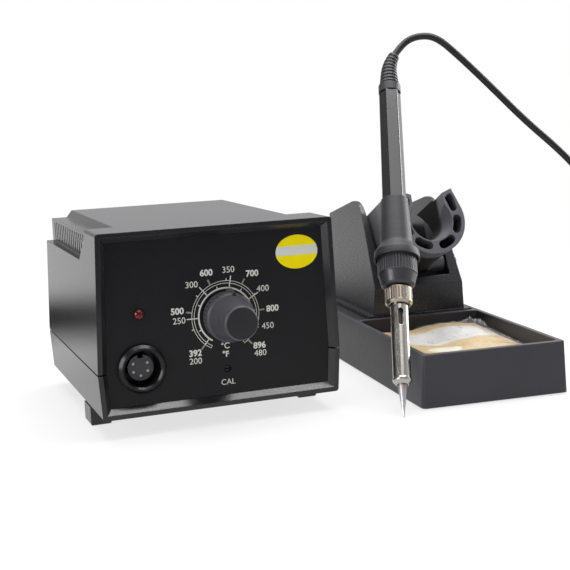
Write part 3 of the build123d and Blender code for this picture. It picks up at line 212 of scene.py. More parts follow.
def surface(name, colour, rough, metal=0.0, grain=1200.0, bump=0.12, depth=FINE_DEPTH, vary=0.14,
            rough_vary=0.07, edge=EDGE, spec=0.5, coat=0.0, dust=0.0, stretch=None, sole=0.0, crest=0.0):
    """Moulded or machined surface: cloudy colour, fine grain in bump and gloss, eased edges, light dust.

    Below the height sole it is dark, and near the height crest it is painted lighter grey, a painted highlight.
    """
    material, tree, bsdf, coord = start(name)
    cloud = noise_of(tree, coord, 22.0, 4.0)
    fine = noise_of(tree, coord, grain, 2.0, 0.6, stretch)
    clouded = ranged(tree, cloud, 0.3, 0.7, 0.0, 1.0)
    tone = mixed(tree, clouded, shade(colour, 1 - vary), shade(colour, 1 + vary))
    if dust > 0:
        specks = noise_of(tree, coord, 420.0, 5.0, 0.75)
        tone = mixed(tree, ranged(tree, specks, 0.62, 0.8, 0.0, dust), tone, DUST_GREY)
    if sole > 0:
        low = ranged(tree, axes(tree, coord)["Z"], sole, sole + FADE, 1.0, 0.0)
        tone = mixed(tree, low, tone, SOLE_BLACK)
    # painted highlight: lighter grey painted over the top of the crest
    if crest > 0:
        high = ranged(tree, axes(tree, coord)["Z"], crest - CREST_FADE, crest, 0.0, 0.8)
        tone = mixed(tree, high, tone, CREST_HIGHLIGHT_GREY)
    tree.links.new(tone, bsdf.inputs["Base Color"])
    gloss = ranged(tree, fine, 0.25, 0.75, rough - rough_vary, rough + rough_vary)
    tree.links.new(gloss, bsdf.inputs["Roughness"])
    bsdf.inputs["Metallic"].default_value = metal
    bsdf.inputs["Specular IOR Level"].default_value = spec
    if coat > 0:
        bsdf.inputs["Coat Weight"].default_value = coat
        bsdf.inputs["Coat Roughness"].default_value = 0.12
    relief(tree, bsdf, fine, bump, depth, edge)
    return material


UNTURNED = (0.0, 0.0, 0.0)
along_iron = (UNTURNED, (1.0, 1.0, 0.25))
core_sheets = (UNTURNED, (0.05, 2.0, 0.05))
tape_layers = (UNTURNED, (0.1, 0.1, 3.0))

casing = surface("casing_plastic", srgb(30, 30, 32), 0.21, grain=1500, bump=0.10, vary=0.10, rough_vary=0.05,
                 dust=0.03)
foot_plastic = surface("foot_plastic", srgb(30, 30, 32), 0.24, grain=1500, bump=0.10, vary=0.10,
                       rough_vary=0.05, sole=0.0022)
panel = surface("panel_plastic", srgb(20, 20, 23), 0.40, grain=2600, bump=0.10, vary=0.12, spec=0.25, dust=0.08,
                edge=0)
socket_black = surface("socket_metal", srgb(36, 36, 38), 0.24, metal=0.6, grain=1600, bump=0.06, vary=0.10)
socket_grey = surface("socket_insulation", srgb(64, 64, 68), 0.45, grain=1400, bump=0.10)
insulation = surface("black_insulation", srgb(26, 26, 28), 0.5, grain=1400)
# the stand's plastic carries a painted highlight over the top of its rim, from crest
stand_plastic = surface("stand_plastic", srgb(56, 56, 60), 0.38, grain=1300, bump=0.20, depth=0.0001, vary=0.10,
                        spec=0.3, dust=0.05, crest=STAND_TOP * MM)
# painted shade: the tower's plastic is a darker copy of the stand's plastic, for the tower's shaded front
tower_shaded_plastic = surface("tower_shaded_plastic", srgb(38, 38, 42), 0.27, grain=1500, bump=0.02, vary=0.08,
                        rough_vary=0.02, spec=0.62, dust=0.02)
rubber = surface("rubber", srgb(30, 30, 31), 0.6, grain=1100, bump=0.25, vary=0.12, spec=0.35)
boot_rubber = surface("boot_rubber", srgb(52, 52, 55), 0.42, grain=1100, bump=0.16, vary=0.10)
nipple_plastic = surface("nipple_plastic", srgb(50, 49, 54), 0.34, grain=1500, vary=0.12, spec=0.65, dust=0.04)
tube_plastic = surface("handle_plastic", srgb(24, 24, 26), 0.12, grain=600, bump=0.02, vary=0.10,
                       rough_vary=0.03, spec=0.8, coat=1.0, edge=0)
cord_plastic = surface("cord_plastic", srgb(30, 30, 32), 0.42, grain=900, bump=0.14, vary=0.10, edge=0)
chrome = surface("nickel_plate", srgb(190, 187, 180), 0.22, metal=1.0, grain=500, bump=0.05, vary=0.06,
                 stretch=along_iron)
nut_metal = surface("nut_metal", srgb(180, 171, 158), 0.24, metal=1.0, grain=700, bump=0.03, vary=0.05,
                    rough_vary=0.04, edge=0.0002)
steel = surface("plain_steel", srgb(165, 165, 164), 0.3, metal=1.0, grain=800, bump=0.08, vary=0.08)
dark_steel = surface("dark_steel", srgb(46, 46, 48), 0.4, metal=0.6, grain=800, bump=0.08, vary=0.08)
brass = surface("brass", srgb(190, 150, 80), 0.3, metal=1.0, grain=900, bump=0.06)
aluminium = surface("aluminium", srgb(190, 191, 193), 0.35, metal=1.0, grain=700, bump=0.08)
board_green = surface("board", srgb(24, 78, 38), 0.35, grain=700, bump=0.08, coat=0.3)
component_black = surface("component", srgb(32, 32, 35), 0.5, grain=1000, bump=0.1)
core_grey = surface("core_steel", srgb(80, 80, 82), 0.45, metal=0.7, grain=900, bump=0.1, stretch=core_sheets)
winding_tape = surface("winding", srgb(196, 150, 40), 0.35, grain=300, coat=0.3, stretch=tape_layers)
ceramic = surface("element_ceramic", srgb(84, 78, 70), 0.35, grain=900, bump=0.06)
rocker_plastic = surface("rocker_plastic", srgb(38, 38, 40), 0.3, grain=1400, bump=0.08, coat=0.2)
ink = surface("white_ink", srgb(205, 204, 198), 0.55, grain=900, bump=0.05, vary=0.10, spec=0.2, edge=0)
ink_grey = surface("grey_ink", srgb(128, 127, 124), 0.55, grain=900, bump=0.05, spec=0.2, edge=0)


def knob_material():
    """Knob: a plain dark face, and a side painted lighter in fine rings, a painted sheen."""
    material, tree, bsdf, coord = start("knob_plastic")
    normal = tree.nodes.new("ShaderNodeTexCoord").outputs["Normal"]
    cloud = noise_of(tree, coord, 120.0, 4.0)
    rings = noise_of(tree, coord, 160.0, 4.0, 0.7, (UNTURNED, (1.0, 14.0, 1.0)))
    to_front = vectors(tree, "DOT_PRODUCT", normal, (0.0, -1.0, 0.0))
    face = ranged(tree, to_front, 0.75, 0.92, 0.0, 1.0)
    # painted sheen: the ringed side is painted lighter grey than the front face
    painted_sheen = mixed(tree, ranged(tree, rings, 0.3, 0.7, 0.0, 1.0), srgb(44, 44, 47), srgb(76, 76, 80))
    front = mixed(tree, cloud, srgb(28, 28, 31), srgb(40, 40, 43))
    tree.links.new(mixed(tree, face, painted_sheen, front), bsdf.inputs["Base Color"])
    tree.links.new(ranged(tree, rings, 0.25, 0.75, 0.36, 0.5), bsdf.inputs["Roughness"])
    bsdf.inputs["Specular IOR Level"].default_value = 0.35
    relief(tree, bsdf, rings, 0.15, FINE_DEPTH, EDGE)
    return material


def receptacle_material():
    """Grey moulded plastic painted lighter than the stand's as painted light, with painted shade near black
    inside the throat round the iron.
    """
    material, tree, bsdf, coord = start("receptacle_plastic")
    inside = vectors(tree, "SUBTRACT", coord, tuple(mouth_at * MM))
    across = maths(tree, "ABSOLUTE", vectors(tree, "DOT_PRODUCT", inside, tuple(stand_across)))
    depth = vectors(tree, "DOT_PRODUCT", inside, tuple(mouth_back))
    # painted shade: the throat's walls round the iron are painted near black
    throat_shade = maths(tree, "MULTIPLY", ranged(tree, across, 0.0096, 0.0102, 1.0, 0.0),
                   ranged(tree, depth, 0.0075, 0.0105, 0.0, 1.0))
    cloud = noise_of(tree, coord, 26.0, 4.0)
    fine = noise_of(tree, coord, 1500.0, 2.0, 0.6)
    # painted light: the grey is painted lighter than the stand's plastic
    tone = mixed(tree, cloud, srgb(88, 88, 93), srgb(108, 108, 113))
    tree.links.new(mixed(tree, throat_shade, tone, srgb(16, 16, 19)), bsdf.inputs["Base Color"])
    gloss = ranged(tree, fine, 0.25, 0.75, 0.32, 0.44)
    dulled = maths(tree, "ADD", gloss, maths(tree, "MULTIPLY", throat_shade, 0.4))
    tree.links.new(dulled, bsdf.inputs["Roughness"])
    relief(tree, bsdf, fine, 0.16, FINE_DEPTH, EDGE)
    return material


def grip_material():
    """Matt rubber with fine moulded rings round the iron, the rings painted lighter as a painted highlight."""
    material, tree, bsdf, coord = start("grip_rubber")
    ring_noise = tree.nodes.new("ShaderNodeTexNoise")
    ring_noise.noise_dimensions = "1D"
    ring_noise.inputs["Scale"].default_value = 1300.0
    tree.links.new(vectors(tree, "DOT_PRODUCT", coord, tuple(iron_axis)), ring_noise.inputs["W"])
    rings = ring_noise.outputs["Fac"]
    fine = noise_of(tree, coord, 1500.0, 2.0, 0.6)
    cloud = noise_of(tree, coord, 60.0, 4.0)
    tone = mixed(tree, cloud, srgb(34, 34, 37), srgb(46, 46, 49))
    # painted highlight: the moulded rings are painted lighter grey
    tone = mixed(tree, ranged(tree, rings, 0.45, 0.7, 0.0, 0.4), tone, srgb(62, 62, 65))
    tree.links.new(tone, bsdf.inputs["Base Color"])
    tree.links.new(ranged(tree, fine, 0.25, 0.75, 0.42, 0.56), bsdf.inputs["Roughness"])
    bsdf.inputs["Specular IOR Level"].default_value = 0.5
    relief(tree, bsdf, maths(tree, "ADD", rings, fine), 0.3, 0.00008)
    return material


def lens_material():
    """Red moulded lens, cloudy and slightly see-through."""
    material, tree, bsdf, coord = start("red_lens")
    cloud = noise_of(tree, coord, 380.0, 2.0)
    tree.links.new(mixed(tree, cloud, srgb(66, 8, 12), srgb(108, 18, 22)), bsdf.inputs["Base Color"])
    bsdf.inputs["Roughness"].default_value = 0.12
    bsdf.inputs["Transmission Weight"].default_value = 0.25
    bsdf.inputs["IOR"].default_value = 1.5
    return material


def tip_material():
    """Plated tip: bright tinned point, dull grey cone, faint heat tint towards the enclosure."""
    material, tree, bsdf, coord = start("tip_metal")
    from_point = vectors(tree, "DISTANCE", coord, tip_point * MM)
    ragged = noise_of(tree, coord, 900.0, 3.0)
    wobble = maths(tree, "MULTIPLY_ADD", ragged, 0.004, from_point)
    reach = ranged(tree, wobble, 0.005, 0.011, 0.0, 1.0)
    heat = ranged(tree, wobble, 0.012, 0.019, 0.0, 1.0)
    grey = mixed(tree, heat, srgb(204, 205, 210), srgb(176, 170, 162))
    tree.links.new(mixed(tree, reach, srgb(240, 241, 244), grey), bsdf.inputs["Base Color"])
    tree.links.new(ranged(tree, reach, 0.0, 1.0, 0.3, 0.48), bsdf.inputs["Roughness"])
    bsdf.inputs["Metallic"].default_value = 1.0
    relief(tree, bsdf, ragged, 0.1, 0.00008)
    return material


def glass_material():
    """Clear glass with faint smears."""
    material, tree, bsdf, coord = start("fuse_glass")
    smear = noise_of(tree, coord, 300.0, 3.0)
    tree.links.new(ranged(tree, smear, 0.3, 0.7, 0.03, 0.12), bsdf.inputs["Roughness"])
    bsdf.inputs["Base Color"].default_value = (0.9, 0.95, 0.95, 1)
    bsdf.inputs["Transmission Weight"].default_value = 0.9
    return material


worn_by = {
    casing: ["upper_casing", "lower_casing"],
    foot_plastic: ["station_feet"],
    panel: ["front_panel", "rear_panel"],
    steel: ["casing_screws", "transformer_screws", "transformer_clamp", "tower_screws", "receptacle_pivot",
            "potentiometer_shaft", "potentiometer_nut", "socket_contacts"],
    dark_steel: ["trimmer_screw"],
    rubber: ["stand_pads", "cord_gland", "plug_boot"],
    boot_rubber: ["cord_boot"],
    nipple_plastic: ["nipple"],
    lens_material(): ["status_lamp"],
    socket_black: ["socket_shell", "socket_nut"],
    socket_grey: ["socket_insulator"],
    insulation: ["plug_insert", "switch_housing", "fuse_holder", "fuse_cap", "trimmer_body", "terminal_board"],
    rocker_plastic: ["power_rocker"],
    brass: ["plug_pins"],
    knob_material(): ["temperature_knob"],
    aluminium: ["potentiometer", "heat_sink"],
    board_green: ["control_board"],
    component_black: ["board_components"],
    core_grey: ["transformer_core"],
    winding_tape: ["transformer_winding"],
    glass_material(): ["fuse"],
    stand_plastic: ["stand_base"],
    receptacle_material(): ["iron_receptacle"],
    tip_material(): ["soldering_tip"],
    chrome: ["tip_enclosure", "plug_shell", "plug_lock_ring"],
    nut_metal: ["enclosure_nut"],
    ceramic: ["heating_element"],
    tube_plastic: ["handle_tube"],
    cord_plastic: ["coil_tie"],
}
for material, names in worn_by.items():
    for name in names:
        nodes[name].data.materials.clear()
        nodes[name].data.materials.append(material)


def add_mesh(name, vertices, faces, material, body, smooth=False):
    """New piece from points in metres, riding a body."""
    mesh = bpy.data.meshes.new(name)
    mesh.from_pydata([tuple(v) for v in vertices], [], faces)
    mesh.update()
    made = linked(name, mesh)
    mesh.materials.append(material)
    if smooth:
        for polygon in mesh.polygons:
            polygon.use_smooth = True
    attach(made, body)
    return made


def eased(share):
    """Smooth step from 0 to 1."""
    share = min(1.0, max(0.0, share))
    return share * share * (3 - 2 * share)


# Cord: one spline from the boot along the photographed bend, down to the table and round the coil
bend_r, bend, straight_end = 25.0, math.radians(30.0), 193.6
boot_dir = iron_axis * math.cos(bend) + iron_side * math.sin(bend)
boot_end = tip_point + iron_axis * (straight_end + bend_r * math.sin(bend))
boot_end += iron_side * bend_r * (1 - math.cos(bend))
cord_r = 1.9
coil_z, coil_layer = 2.6, 4.35              # height of the lower layer, and of the upper one over it
coil_in, coil_step, coil_turns = 12.6, 5.0, 3.375
coil_slack = 1.012
half_turn = 0.5
plug_z = 9.6
end_run = 4.0                               # straight run before and after the coil
per_turn = 20
route = [boot_end, boot_end + boot_dir * 8]
route += [Vector(p) for p in (
    (78.06, 1.8, 183.5), (87.96, -2.9, 183.1), (99.26, -7.4, 172.5), (115.26, -13.7, 155.6),
    (133.76, -20.8, 135.3), (151.76, -27.8, 118.2), (164.26, -32.6, 103.5), (174.26, -36.6, 85.0),
    (181.26, -39.4, 62.5), (186.26, -41.4, 39.0), (191.26, -43.6, 18.5), (196.76, -46.7, 7.5),
    (202.76, -53.2, coil_z), (206.76, -61.2, coil_z))]
coil_out = coil_in + coil_step * coil_turns
all_turns = 2 * coil_turns + half_turn
entry = (route[-1] - route[-2]).normalized()
phase = math.atan2(entry.x, -entry.y)
first = route[-1] + entry * end_run
centre = first - Vector((coil_out * math.cos(phase), coil_out * math.sin(phase), coil_z))


def coil_point(turns):
    """Point of the coil: inwards on the table, up by a layer, outwards on top and up to the plug."""
    radius = coil_in
    if turns <= coil_turns:
        radius = coil_out - coil_step * turns
    elif turns > coil_turns + half_turn:
        radius = coil_in + coil_step * (turns - coil_turns - half_turn)
    radius *= coil_slack
    rise = coil_layer * eased((turns - coil_turns) / half_turn)
    rise += (plug_z - coil_z - coil_layer) * eased((turns - all_turns + half_turn) / half_turn)
    angle = phase - 2 * math.pi * turns
    return centre + Vector((radius * math.cos(angle), radius * math.sin(angle), coil_z + rise))


coil = [coil_point(i / per_turn) for i in range(1, round(all_turns * per_turn))]
last_angle = phase - 2 * math.pi * all_turns
leave = Vector((math.sin(last_angle), -math.cos(last_angle), 0))
last = centre + Vector((coil_out * math.cos(last_angle), coil_out * math.sin(last_angle), plug_z))
cord_points = route + [first] + coil + [last, last + leave * end_run]
cord_curve = bpy.data.curves.new("iron_lead", "CURVE")
cord_curve.dimensions = "3D"
cord_curve.bevel_depth = cord_r * MM
cord_curve.bevel_resolution = 5
cord_curve.resolution_u = 6
cord_curve.use_fill_caps = True
spline = cord_curve.splines.new("NURBS")
spline.points.add(len(cord_points) - 1)
for point, place in zip(spline.points, cord_points):
    point.co = (*(place * MM), 1.0)
spline.order_u = 3
spline.use_endpoint_u = True
lead = linked("iron_lead", cord_curve)
cord_curve.materials.append(cord_plastic)
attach(lead, "iron")
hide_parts("iron_cord", "cord_coil")


# Grip: tapered sleeve with a shoulder and an upright skirt, as radius and place along the iron
grip_profile = (
    (6.75, 85.4), (9.6, 85.4), (10.9, 82.7), (11.1, 82.6), (11.5, 82.6), (11.65, 82.8), (11.7, 83.3),
    (11.5, 86.3), (11.4, 86.8), (11.15, 87.2), (9.4, 89.6), (8.75, 90.6), (8.45, 91.3), (8.3, 92.4),
    (7.08, 116.3), (7.03, 116.65), (6.9, 116.8), (6.52, 116.8))
grip_steps = 96
grip_rings = len(grip_profile)
grip_out = iron_axis.cross(iron_side)
grip_v, grip_f = [], []
for radius, along in grip_profile:
    for i in range(grip_steps):
        a = 2 * math.pi * i / grip_steps
        outward = iron_side * math.cos(a) + grip_out * math.sin(a)
        grip_v.append((tip_point + iron_axis * along + outward * radius) * MM)
for j in range(grip_rings):
    here, there = j * grip_steps, (j + 1) % grip_rings * grip_steps
    for i in range(grip_steps):
        after = (i + 1) % grip_steps
        grip_f.append((here + i, here + after, there + after, there + i))
grip = add_mesh("grip_sleeve", grip_v, grip_f, grip_material(), "iron", smooth=True)
grip.data.set_sharp_from_angle(angle=math.radians(32))
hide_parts("handle_grip")


# Print on the front panel: the scale's arcs, ticks and numbers
panel_y = STATION.y + 3.0
print_y = panel_y - 0.06
dial = Vector((STATION.x + 3.15, print_y, 52.5))
dial_scale = 0.978
type_shift = 0.35        # the lettering's middle lies right of the dial's


def on_dial(radius, angle):
    """Point on the panel at a radius and an angle clockwise from the top, in metres."""
    a = math.radians(angle)
    radius *= dial_scale
    return Vector((dial.x + radius * math.sin(a), print_y, dial.z + radius * math.cos(a))) * MM


def arc(vertices, faces, inner, outer, begin, end, steps=120):
    """Band round the dial between two radii and two angles."""
    base = len(vertices)
    for i in range(steps + 1):
        angle = begin + (end - begin) * i / steps
        vertices += [on_dial(inner, angle), on_dial(outer, angle)]
    faces += [(base + 2 * i, base + 2 * i + 2, base + 2 * i + 3, base + 2 * i + 1) for i in range(steps)]


def tick(vertices, faces, angle, inner, outer, width):
    """Straight mark pointing away from the dial's middle."""
    base = len(vertices)
    a = math.radians(angle)
    across = Vector((math.cos(a), 0, -math.sin(a))) * (width / 2 * MM)
    low, high = on_dial(inner, angle), on_dial(outer, angle)
    vertices += [low - across, low + across, high + across, high - across]
    faces.append((base, base + 1, base + 2, base + 3))


def celsius_angle(celsius):
    return -140.0 + (celsius - 200.0)


def fahrenheit_angle(fahrenheit):
    return celsius_angle((fahrenheit - 32) / 1.8)


track_begin, track_end = -152, 148
track_in, track_out, track_line = 15.75, 17.2, 0.25
white_v, white_f, grey_v, grey_f = [], [], [], []
arc(white_v, white_f, 13.2, 14.0, -148, 146)
arc(white_v, white_f, track_in, 16.0, track_begin, track_end)
arc(white_v, white_f, 16.95, track_out, track_begin, track_end)
for angle in (track_begin, track_end):
    tick(white_v, white_f, angle, track_in, track_out, track_line)
for celsius, outer in ((200, 17.0), (250, 19.6), (300, 19.6), (350, 19.6), (400, 19.6), (450, 17.8), (480, 17.0)):
    tick(white_v, white_f, celsius_angle(celsius), 13.4, outer, 0.5)
for celsius in (225, 275, 325, 375, 425, 465):
    tick(white_v, white_f, celsius_angle(celsius), 13.9, 15.0, 0.45)
for fahrenheit in (450, 550, 650, 750, 850):
    tick(white_v, white_f, fahrenheit_angle(fahrenheit), 17.1, 18.2, 0.4)
for fahrenheit in (392, 500, 600, 700, 800, 896):
    tick(grey_v, grey_f, fahrenheit_angle(fahrenheit), 17.3, 20.0, 0.8)
add_mesh("dial_scale", white_v, white_f, ink, ROOT)
add_mesh("dial_marks", grey_v, grey_f, ink_grey, ROOT)


def words(name, text, x, z, size, heavy):
    """Flat lettering on the panel, centred on a point given from the dial's middle."""
    curve = bpy.data.curves.new(name, "FONT")
    curve.body = text
    curve.size = size * MM
    curve.align_x = "CENTER"
    curve.align_y = "CENTER"
    curve.offset = heavy * MM
    curve.resolution_u = 4
    shaped = linked(name + "_type", curve)
    bpy.context.view_layer.update()
    mesh = bpy.data.meshes.new_from_object(shaped.evaluated_get(bpy.context.evaluated_depsgraph_get()))
    bpy.data.objects.remove(shaped)
    mesh.name = name
    place = Vector((dial.x + type_shift + x, print_y, dial.z + z)) * MM
    mesh.transform(Matrix.Translation(place) @ Matrix.Rotation(math.radians(90), 4, "X"))
    made = linked(name, mesh)
    mesh.materials.clear()
    mesh.materials.append(ink)
    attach(made, ROOT)


number_size, bold = 4.2, 0.12
for text, x, z in (("200", -16.1, -20.4), ("250", -23.2, -0.4), ("300", -16.4, 16.1), ("350", 1.9, 21.7),
                   ("400", 18.8, 11.2), ("450", 20.6, -7.1), ("480", 16.3, -20.0)):
    words("scale_" + text, text, x, z, number_size, 0.0)
for text, x, z in (("392", -16.1, -16.6), ("500", -23.9, 4.2), ("600", -9.0, 21.1), ("700", 13.7, 18.9),
                   ("800", 23.3, 1.1), ("896", 16.0, -16.2)):
    words("scale_" + text, text, x, z, number_size, bold)
words("unit_celsius", "°C", -1.2, -14.6, 4.0, 0.05)
words("unit_fahrenheit", "°F", -1.2, -18.6, 3.8, 0.1)
words("trimmer_label", "CAL", -0.5, -32.2, 3.9, 0.0)


# Oval sticker with a plain band
band_low, band_high, band_fade = 0.0785, 0.0829, 0.00015     # heights in metres


def sticker_material():
    """Yellow vinyl with a pale band across it."""
    material, tree, bsdf, coord = start("sticker_vinyl")
    height = axes(tree, coord)["Z"]
    fade = noise_of(tree, coord, 60.0, 4.0)
    yellow = mixed(tree, fade, srgb(224, 204, 4), srgb(236, 218, 12))
    above = ranged(tree, height, band_low - band_fade, band_low, 0.0, 1.0)
    below = ranged(tree, height, band_high, band_high + band_fade, 1.0, 0.0)
    band = maths(tree, "MULTIPLY", above, below)
    tree.links.new(mixed(tree, band, yellow, srgb(200, 201, 192)), bsdf.inputs["Base Color"])
    tree.links.new(ranged(tree, fade, 0.3, 0.7, 0.4, 0.52), bsdf.inputs["Roughness"])
    bsdf.inputs["Specular IOR Level"].default_value = 0.08
    return material


sticker_at = Vector((STATION.x + 40.3, panel_y, 80.0))
sticker_half_w, sticker_half_h, around = 10.8, 8.2, 72
sticker_layers = ((0.0, 0.0), (-0.14, 0.05), (-0.18, 0.35))  # lift off the panel, and how far it is drawn in
ring_v, ring_f = [], []
for lift, shrink in sticker_layers:
    for i in range(around):
        a = 2 * math.pi * i / around
        x, z = (sticker_half_w - shrink) * math.cos(a), (sticker_half_h - shrink) * math.sin(a)
        ring_v.append((sticker_at + Vector((x, lift, z))) * MM)
for layer in (0, around):
    for i in range(around):
        after = (i + 1) % around
        ring_f.append((layer + i, layer + after, layer + around + after, layer + around + i))
ring_f.append(tuple(2 * around + i for i in range(around)))
add_mesh("oval_sticker", ring_v, ring_f, sticker_material(), ROOT)


# Sponge in its packet: crowned, creased, with a pale band across it
packet_left, packet_right, packet_front, packet_back = 8.0, 74.3, 7.2, 93.6
packet_floor = 8.05
packet_tuck = 1.2        # how far the middle of each side is drawn in
cols, rows = 60, 72


def packet_material():
    """Sponge seen through film, with a printed band of faint strokes and a pale oval."""
    material, tree, bsdf, coord = start("sponge_packet")
    on_packet = tree.nodes.new("ShaderNodeMapping")
    on_packet.vector_type = "TEXTURE"
    on_packet.inputs["Location"].default_value = STAND * MM
    on_packet.inputs["Rotation"].default_value = (0, 0, stand_turn)
    tree.links.new(coord, on_packet.inputs["Vector"])
    place = on_packet.outputs["Vector"]
    parts = axes(tree, place)
    wander = noise_of(tree, coord, 45.0, 3.0)
    shifted = maths(tree, "MULTIPLY_ADD", wander, 0.008, parts["Y"])
    pores = noise_of(tree, coord, 700.0, 4.0, 0.7)
    cloud = noise_of(tree, coord, 70.0, 4.0)
    sponge = mixed(tree, cloud, srgb(192, 164, 118), srgb(216, 196, 156))
    sponge = mixed(tree, ranged(tree, pores, 0.35, 0.5, 0.35, 0.0), sponge, srgb(150, 120, 76))
    ramp = tree.nodes.new("ShaderNodeValToRGB")
    elements = ramp.color_ramp.elements
    elements[0].position, elements[0].color = 0.0, (0, 0, 0, 1)
    elements[1].position, elements[1].color = 1.0, (0, 0, 0, 1)
    for spot, value in ((0.585, 0.0), (0.61, 0.9), (0.81, 0.9), (0.835, 0.0)):
        added = elements.new(spot)
        added.color = (value, value, value, 1)
    tree.links.new(ranged(tree, shifted, 0.0, 0.1, 0.0, 1.0), ramp.inputs["Fac"])
    band = maths(tree, "MULTIPLY", ramp.outputs["Color"], ranged(tree, parts["X"], 0.064, 0.071, 1.0, 0.0))
    silver = mixed(tree, cloud, srgb(186, 190, 192), srgb(232, 232, 230))
    strokes = noise_of(tree, place, 150.0, 4.0, 0.7, (UNTURNED, (3.0, 0.8, 1.0)))
    silver = mixed(tree, ranged(tree, strokes, 0.56, 0.66, 0.0, 0.5), silver, srgb(110, 116, 124))
    printed = mixed(tree, band, sponge, silver)
    from_oval = vectors(tree, "SUBTRACT", place, (0.0295, 0.0385, 0.02))
    oval = vectors(tree, "LENGTH", vectors(tree, "MULTIPLY", from_oval, (1 / 0.0098, 1 / 0.0072, 0.0)))
    pale = mixed(tree, cloud, srgb(214, 214, 196), srgb(236, 236, 222))
    tone = mixed(tree, ranged(tree, oval, 0.88, 1.0, 0.85, 0.0), printed, pale)
    tree.links.new(tone, bsdf.inputs["Base Color"])
    tree.links.new(ranged(tree, cloud, 0.3, 0.7, 0.32, 0.55), bsdf.inputs["Roughness"])
    bsdf.inputs["Coat Weight"].default_value = 0.3
    bsdf.inputs["Coat Roughness"].default_value = 0.2
    relief(tree, bsdf, noise_of(tree, coord, 130.0, 5.0, 0.7), 0.35, 0.0006)
    return material


def packet_top(a, b):
    """Height of the packet's top over the well's floor: crowned, waved across its back half, finely creased."""
    inset = min(a - packet_left, 2.0 * (packet_right - a), b - packet_front, 1.6 * (packet_back - b))
    inset = max(0.0, inset)
    crown = 12.3 * (1 - (1 - min(1.0, inset / 7.0)) ** 2.4)
    wave = 1.7 * math.cos(2 * math.pi * (a - 60.0) / 56.0) * eased((b - 32.0) / 30.0)
    wave += 3.0 * math.exp(-((a - 42.0) / 17.0) ** 2 - ((b - 86.0) / 15.0) ** 2)
    crease = 0.7 * noise.noise(Vector((a * 0.07, b * 0.07, 3.7)))
    crease += 0.35 * noise.noise(Vector((a * 0.21, b * 0.2, 1.3)))
    return max(0.4, crown + (wave + crease) * min(1.0, inset / 6.0))


pack_v, pack_f = [], []
for j in range(rows + 1):
    for i in range(cols + 1):
        u, v = i / cols, j / rows
        a = packet_left + (packet_right - packet_left) * u
        b = packet_front + (packet_back - packet_front) * v
        high = packet_top(a, b)
        a -= packet_tuck * math.sin(math.pi * v) ** 2 * (2 * u - 1) * abs(2 * u - 1)
        b -= packet_tuck * math.sin(math.pi * u) ** 2 * (2 * v - 1) * abs(2 * v - 1)
        pack_v.append(on_stand(a, b, packet_floor + high))
top_count = len(pack_v)
for top in pack_v[:top_count]:
    low = top.copy()
    low.z = packet_floor * MM
    pack_v.append(low)
for j in range(rows):
    for i in range(cols):
        k = j * (cols + 1) + i
        pack_f.append((k, k + 1, k + cols + 2, k + cols + 1))
        k += top_count
        pack_f.append((k, k + cols + 1, k + cols + 2, k + 1))
rim = list(range(cols + 1))
rim += [j * (cols + 1) + cols for j in range(1, rows + 1)]
rim += [rows * (cols + 1) + i for i in range(cols - 1, -1, -1)]
rim += [j * (cols + 1) for j in range(rows - 1, 0, -1)]
for here, there in zip(rim, rim[1:] + rim[:1]):
    pack_f.append((here, here + top_count, there + top_count, there))
packet = add_mesh("sponge_in_packet", pack_v, pack_f, packet_material(), "sponge", smooth=True)
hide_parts("cleaning_sponge")


# Clear border of the packet, crinkled along two edges and standing up at the back corner
def film_material():
    """Clear film, whiter where it is creased."""
    material, tree, bsdf, coord = start("clear_film")
    crease = noise_of(tree, coord, 260.0, 4.0, 0.7)
    tree.links.new(ranged(tree, crease, 0.3, 0.7, 0.08, 0.28), bsdf.inputs["Roughness"])
    bsdf.inputs["Base Color"].default_value = (0.85, 0.86, 0.88, 1)
    tree.links.new(ranged(tree, crease, 0.5, 0.72, 0.10, 0.55), bsdf.inputs["Alpha"])
    bsdf.inputs["IOR"].default_value = 1.5
    relief(tree, bsdf, crease, 0.5, 0.0008)
    return material


outer_edge = ((34.0, 92.8), (62.0, 93.2), (70.5, 92.0), (74.0, 87.5), (74.7, 77.0), (74.8, 34.0))
inner_edge = ((34.0, 82.6), (58.0, 83.0), (63.6, 82.4), (65.0, 80.0), (64.6, 74.0), (64.6, 34.0))
edge_rise = (0.2, 0.6, 4.6, 5.2, 1.6, 0.8)
film_floor = 8.3
film_cols, film_rows = 150, 6
legs = len(outer_edge) - 1
film_v, film_f = [], []
for j in range(film_rows + 1):
    for i in range(film_cols + 1):
        part = min(legs - 0.0001, legs * i / film_cols)
        leg = int(part)
        t, v = part - leg, j / film_rows
        (oa, ob), (ia, ib) = [[p + (q - p) * t for p, q in zip(edge[leg], edge[leg + 1])]
                              for edge in (outer_edge, inner_edge)]
        rise = edge_rise[leg] + (edge_rise[leg + 1] - edge_rise[leg]) * t
        crumple = noise.noise(Vector((oa * 0.35, ob * 0.35, 0.4)))
        crumple += 0.6 * noise.noise(Vector((oa * 0.9, ob * 0.9, 5.1)))
        rise += v * crumple * (0.5 + 0.35 * rise)
        a, b = ia + (oa - ia) * v, ib + (ob - ib) * v
        laid = film_floor + packet_top(min(a, 72.5), min(b, 91.0))
        film_v.append(on_stand(a, b, laid + max(0.0, rise) * v ** 3))
for j in range(film_rows):
    for i in range(film_cols):
        k = j * (film_cols + 1) + i
        film_f.append((k, k + 1, k + film_cols + 2, k + film_cols + 1))
film = add_mesh("packet_film", film_v, film_f, film_material(), "sponge", smooth=True)


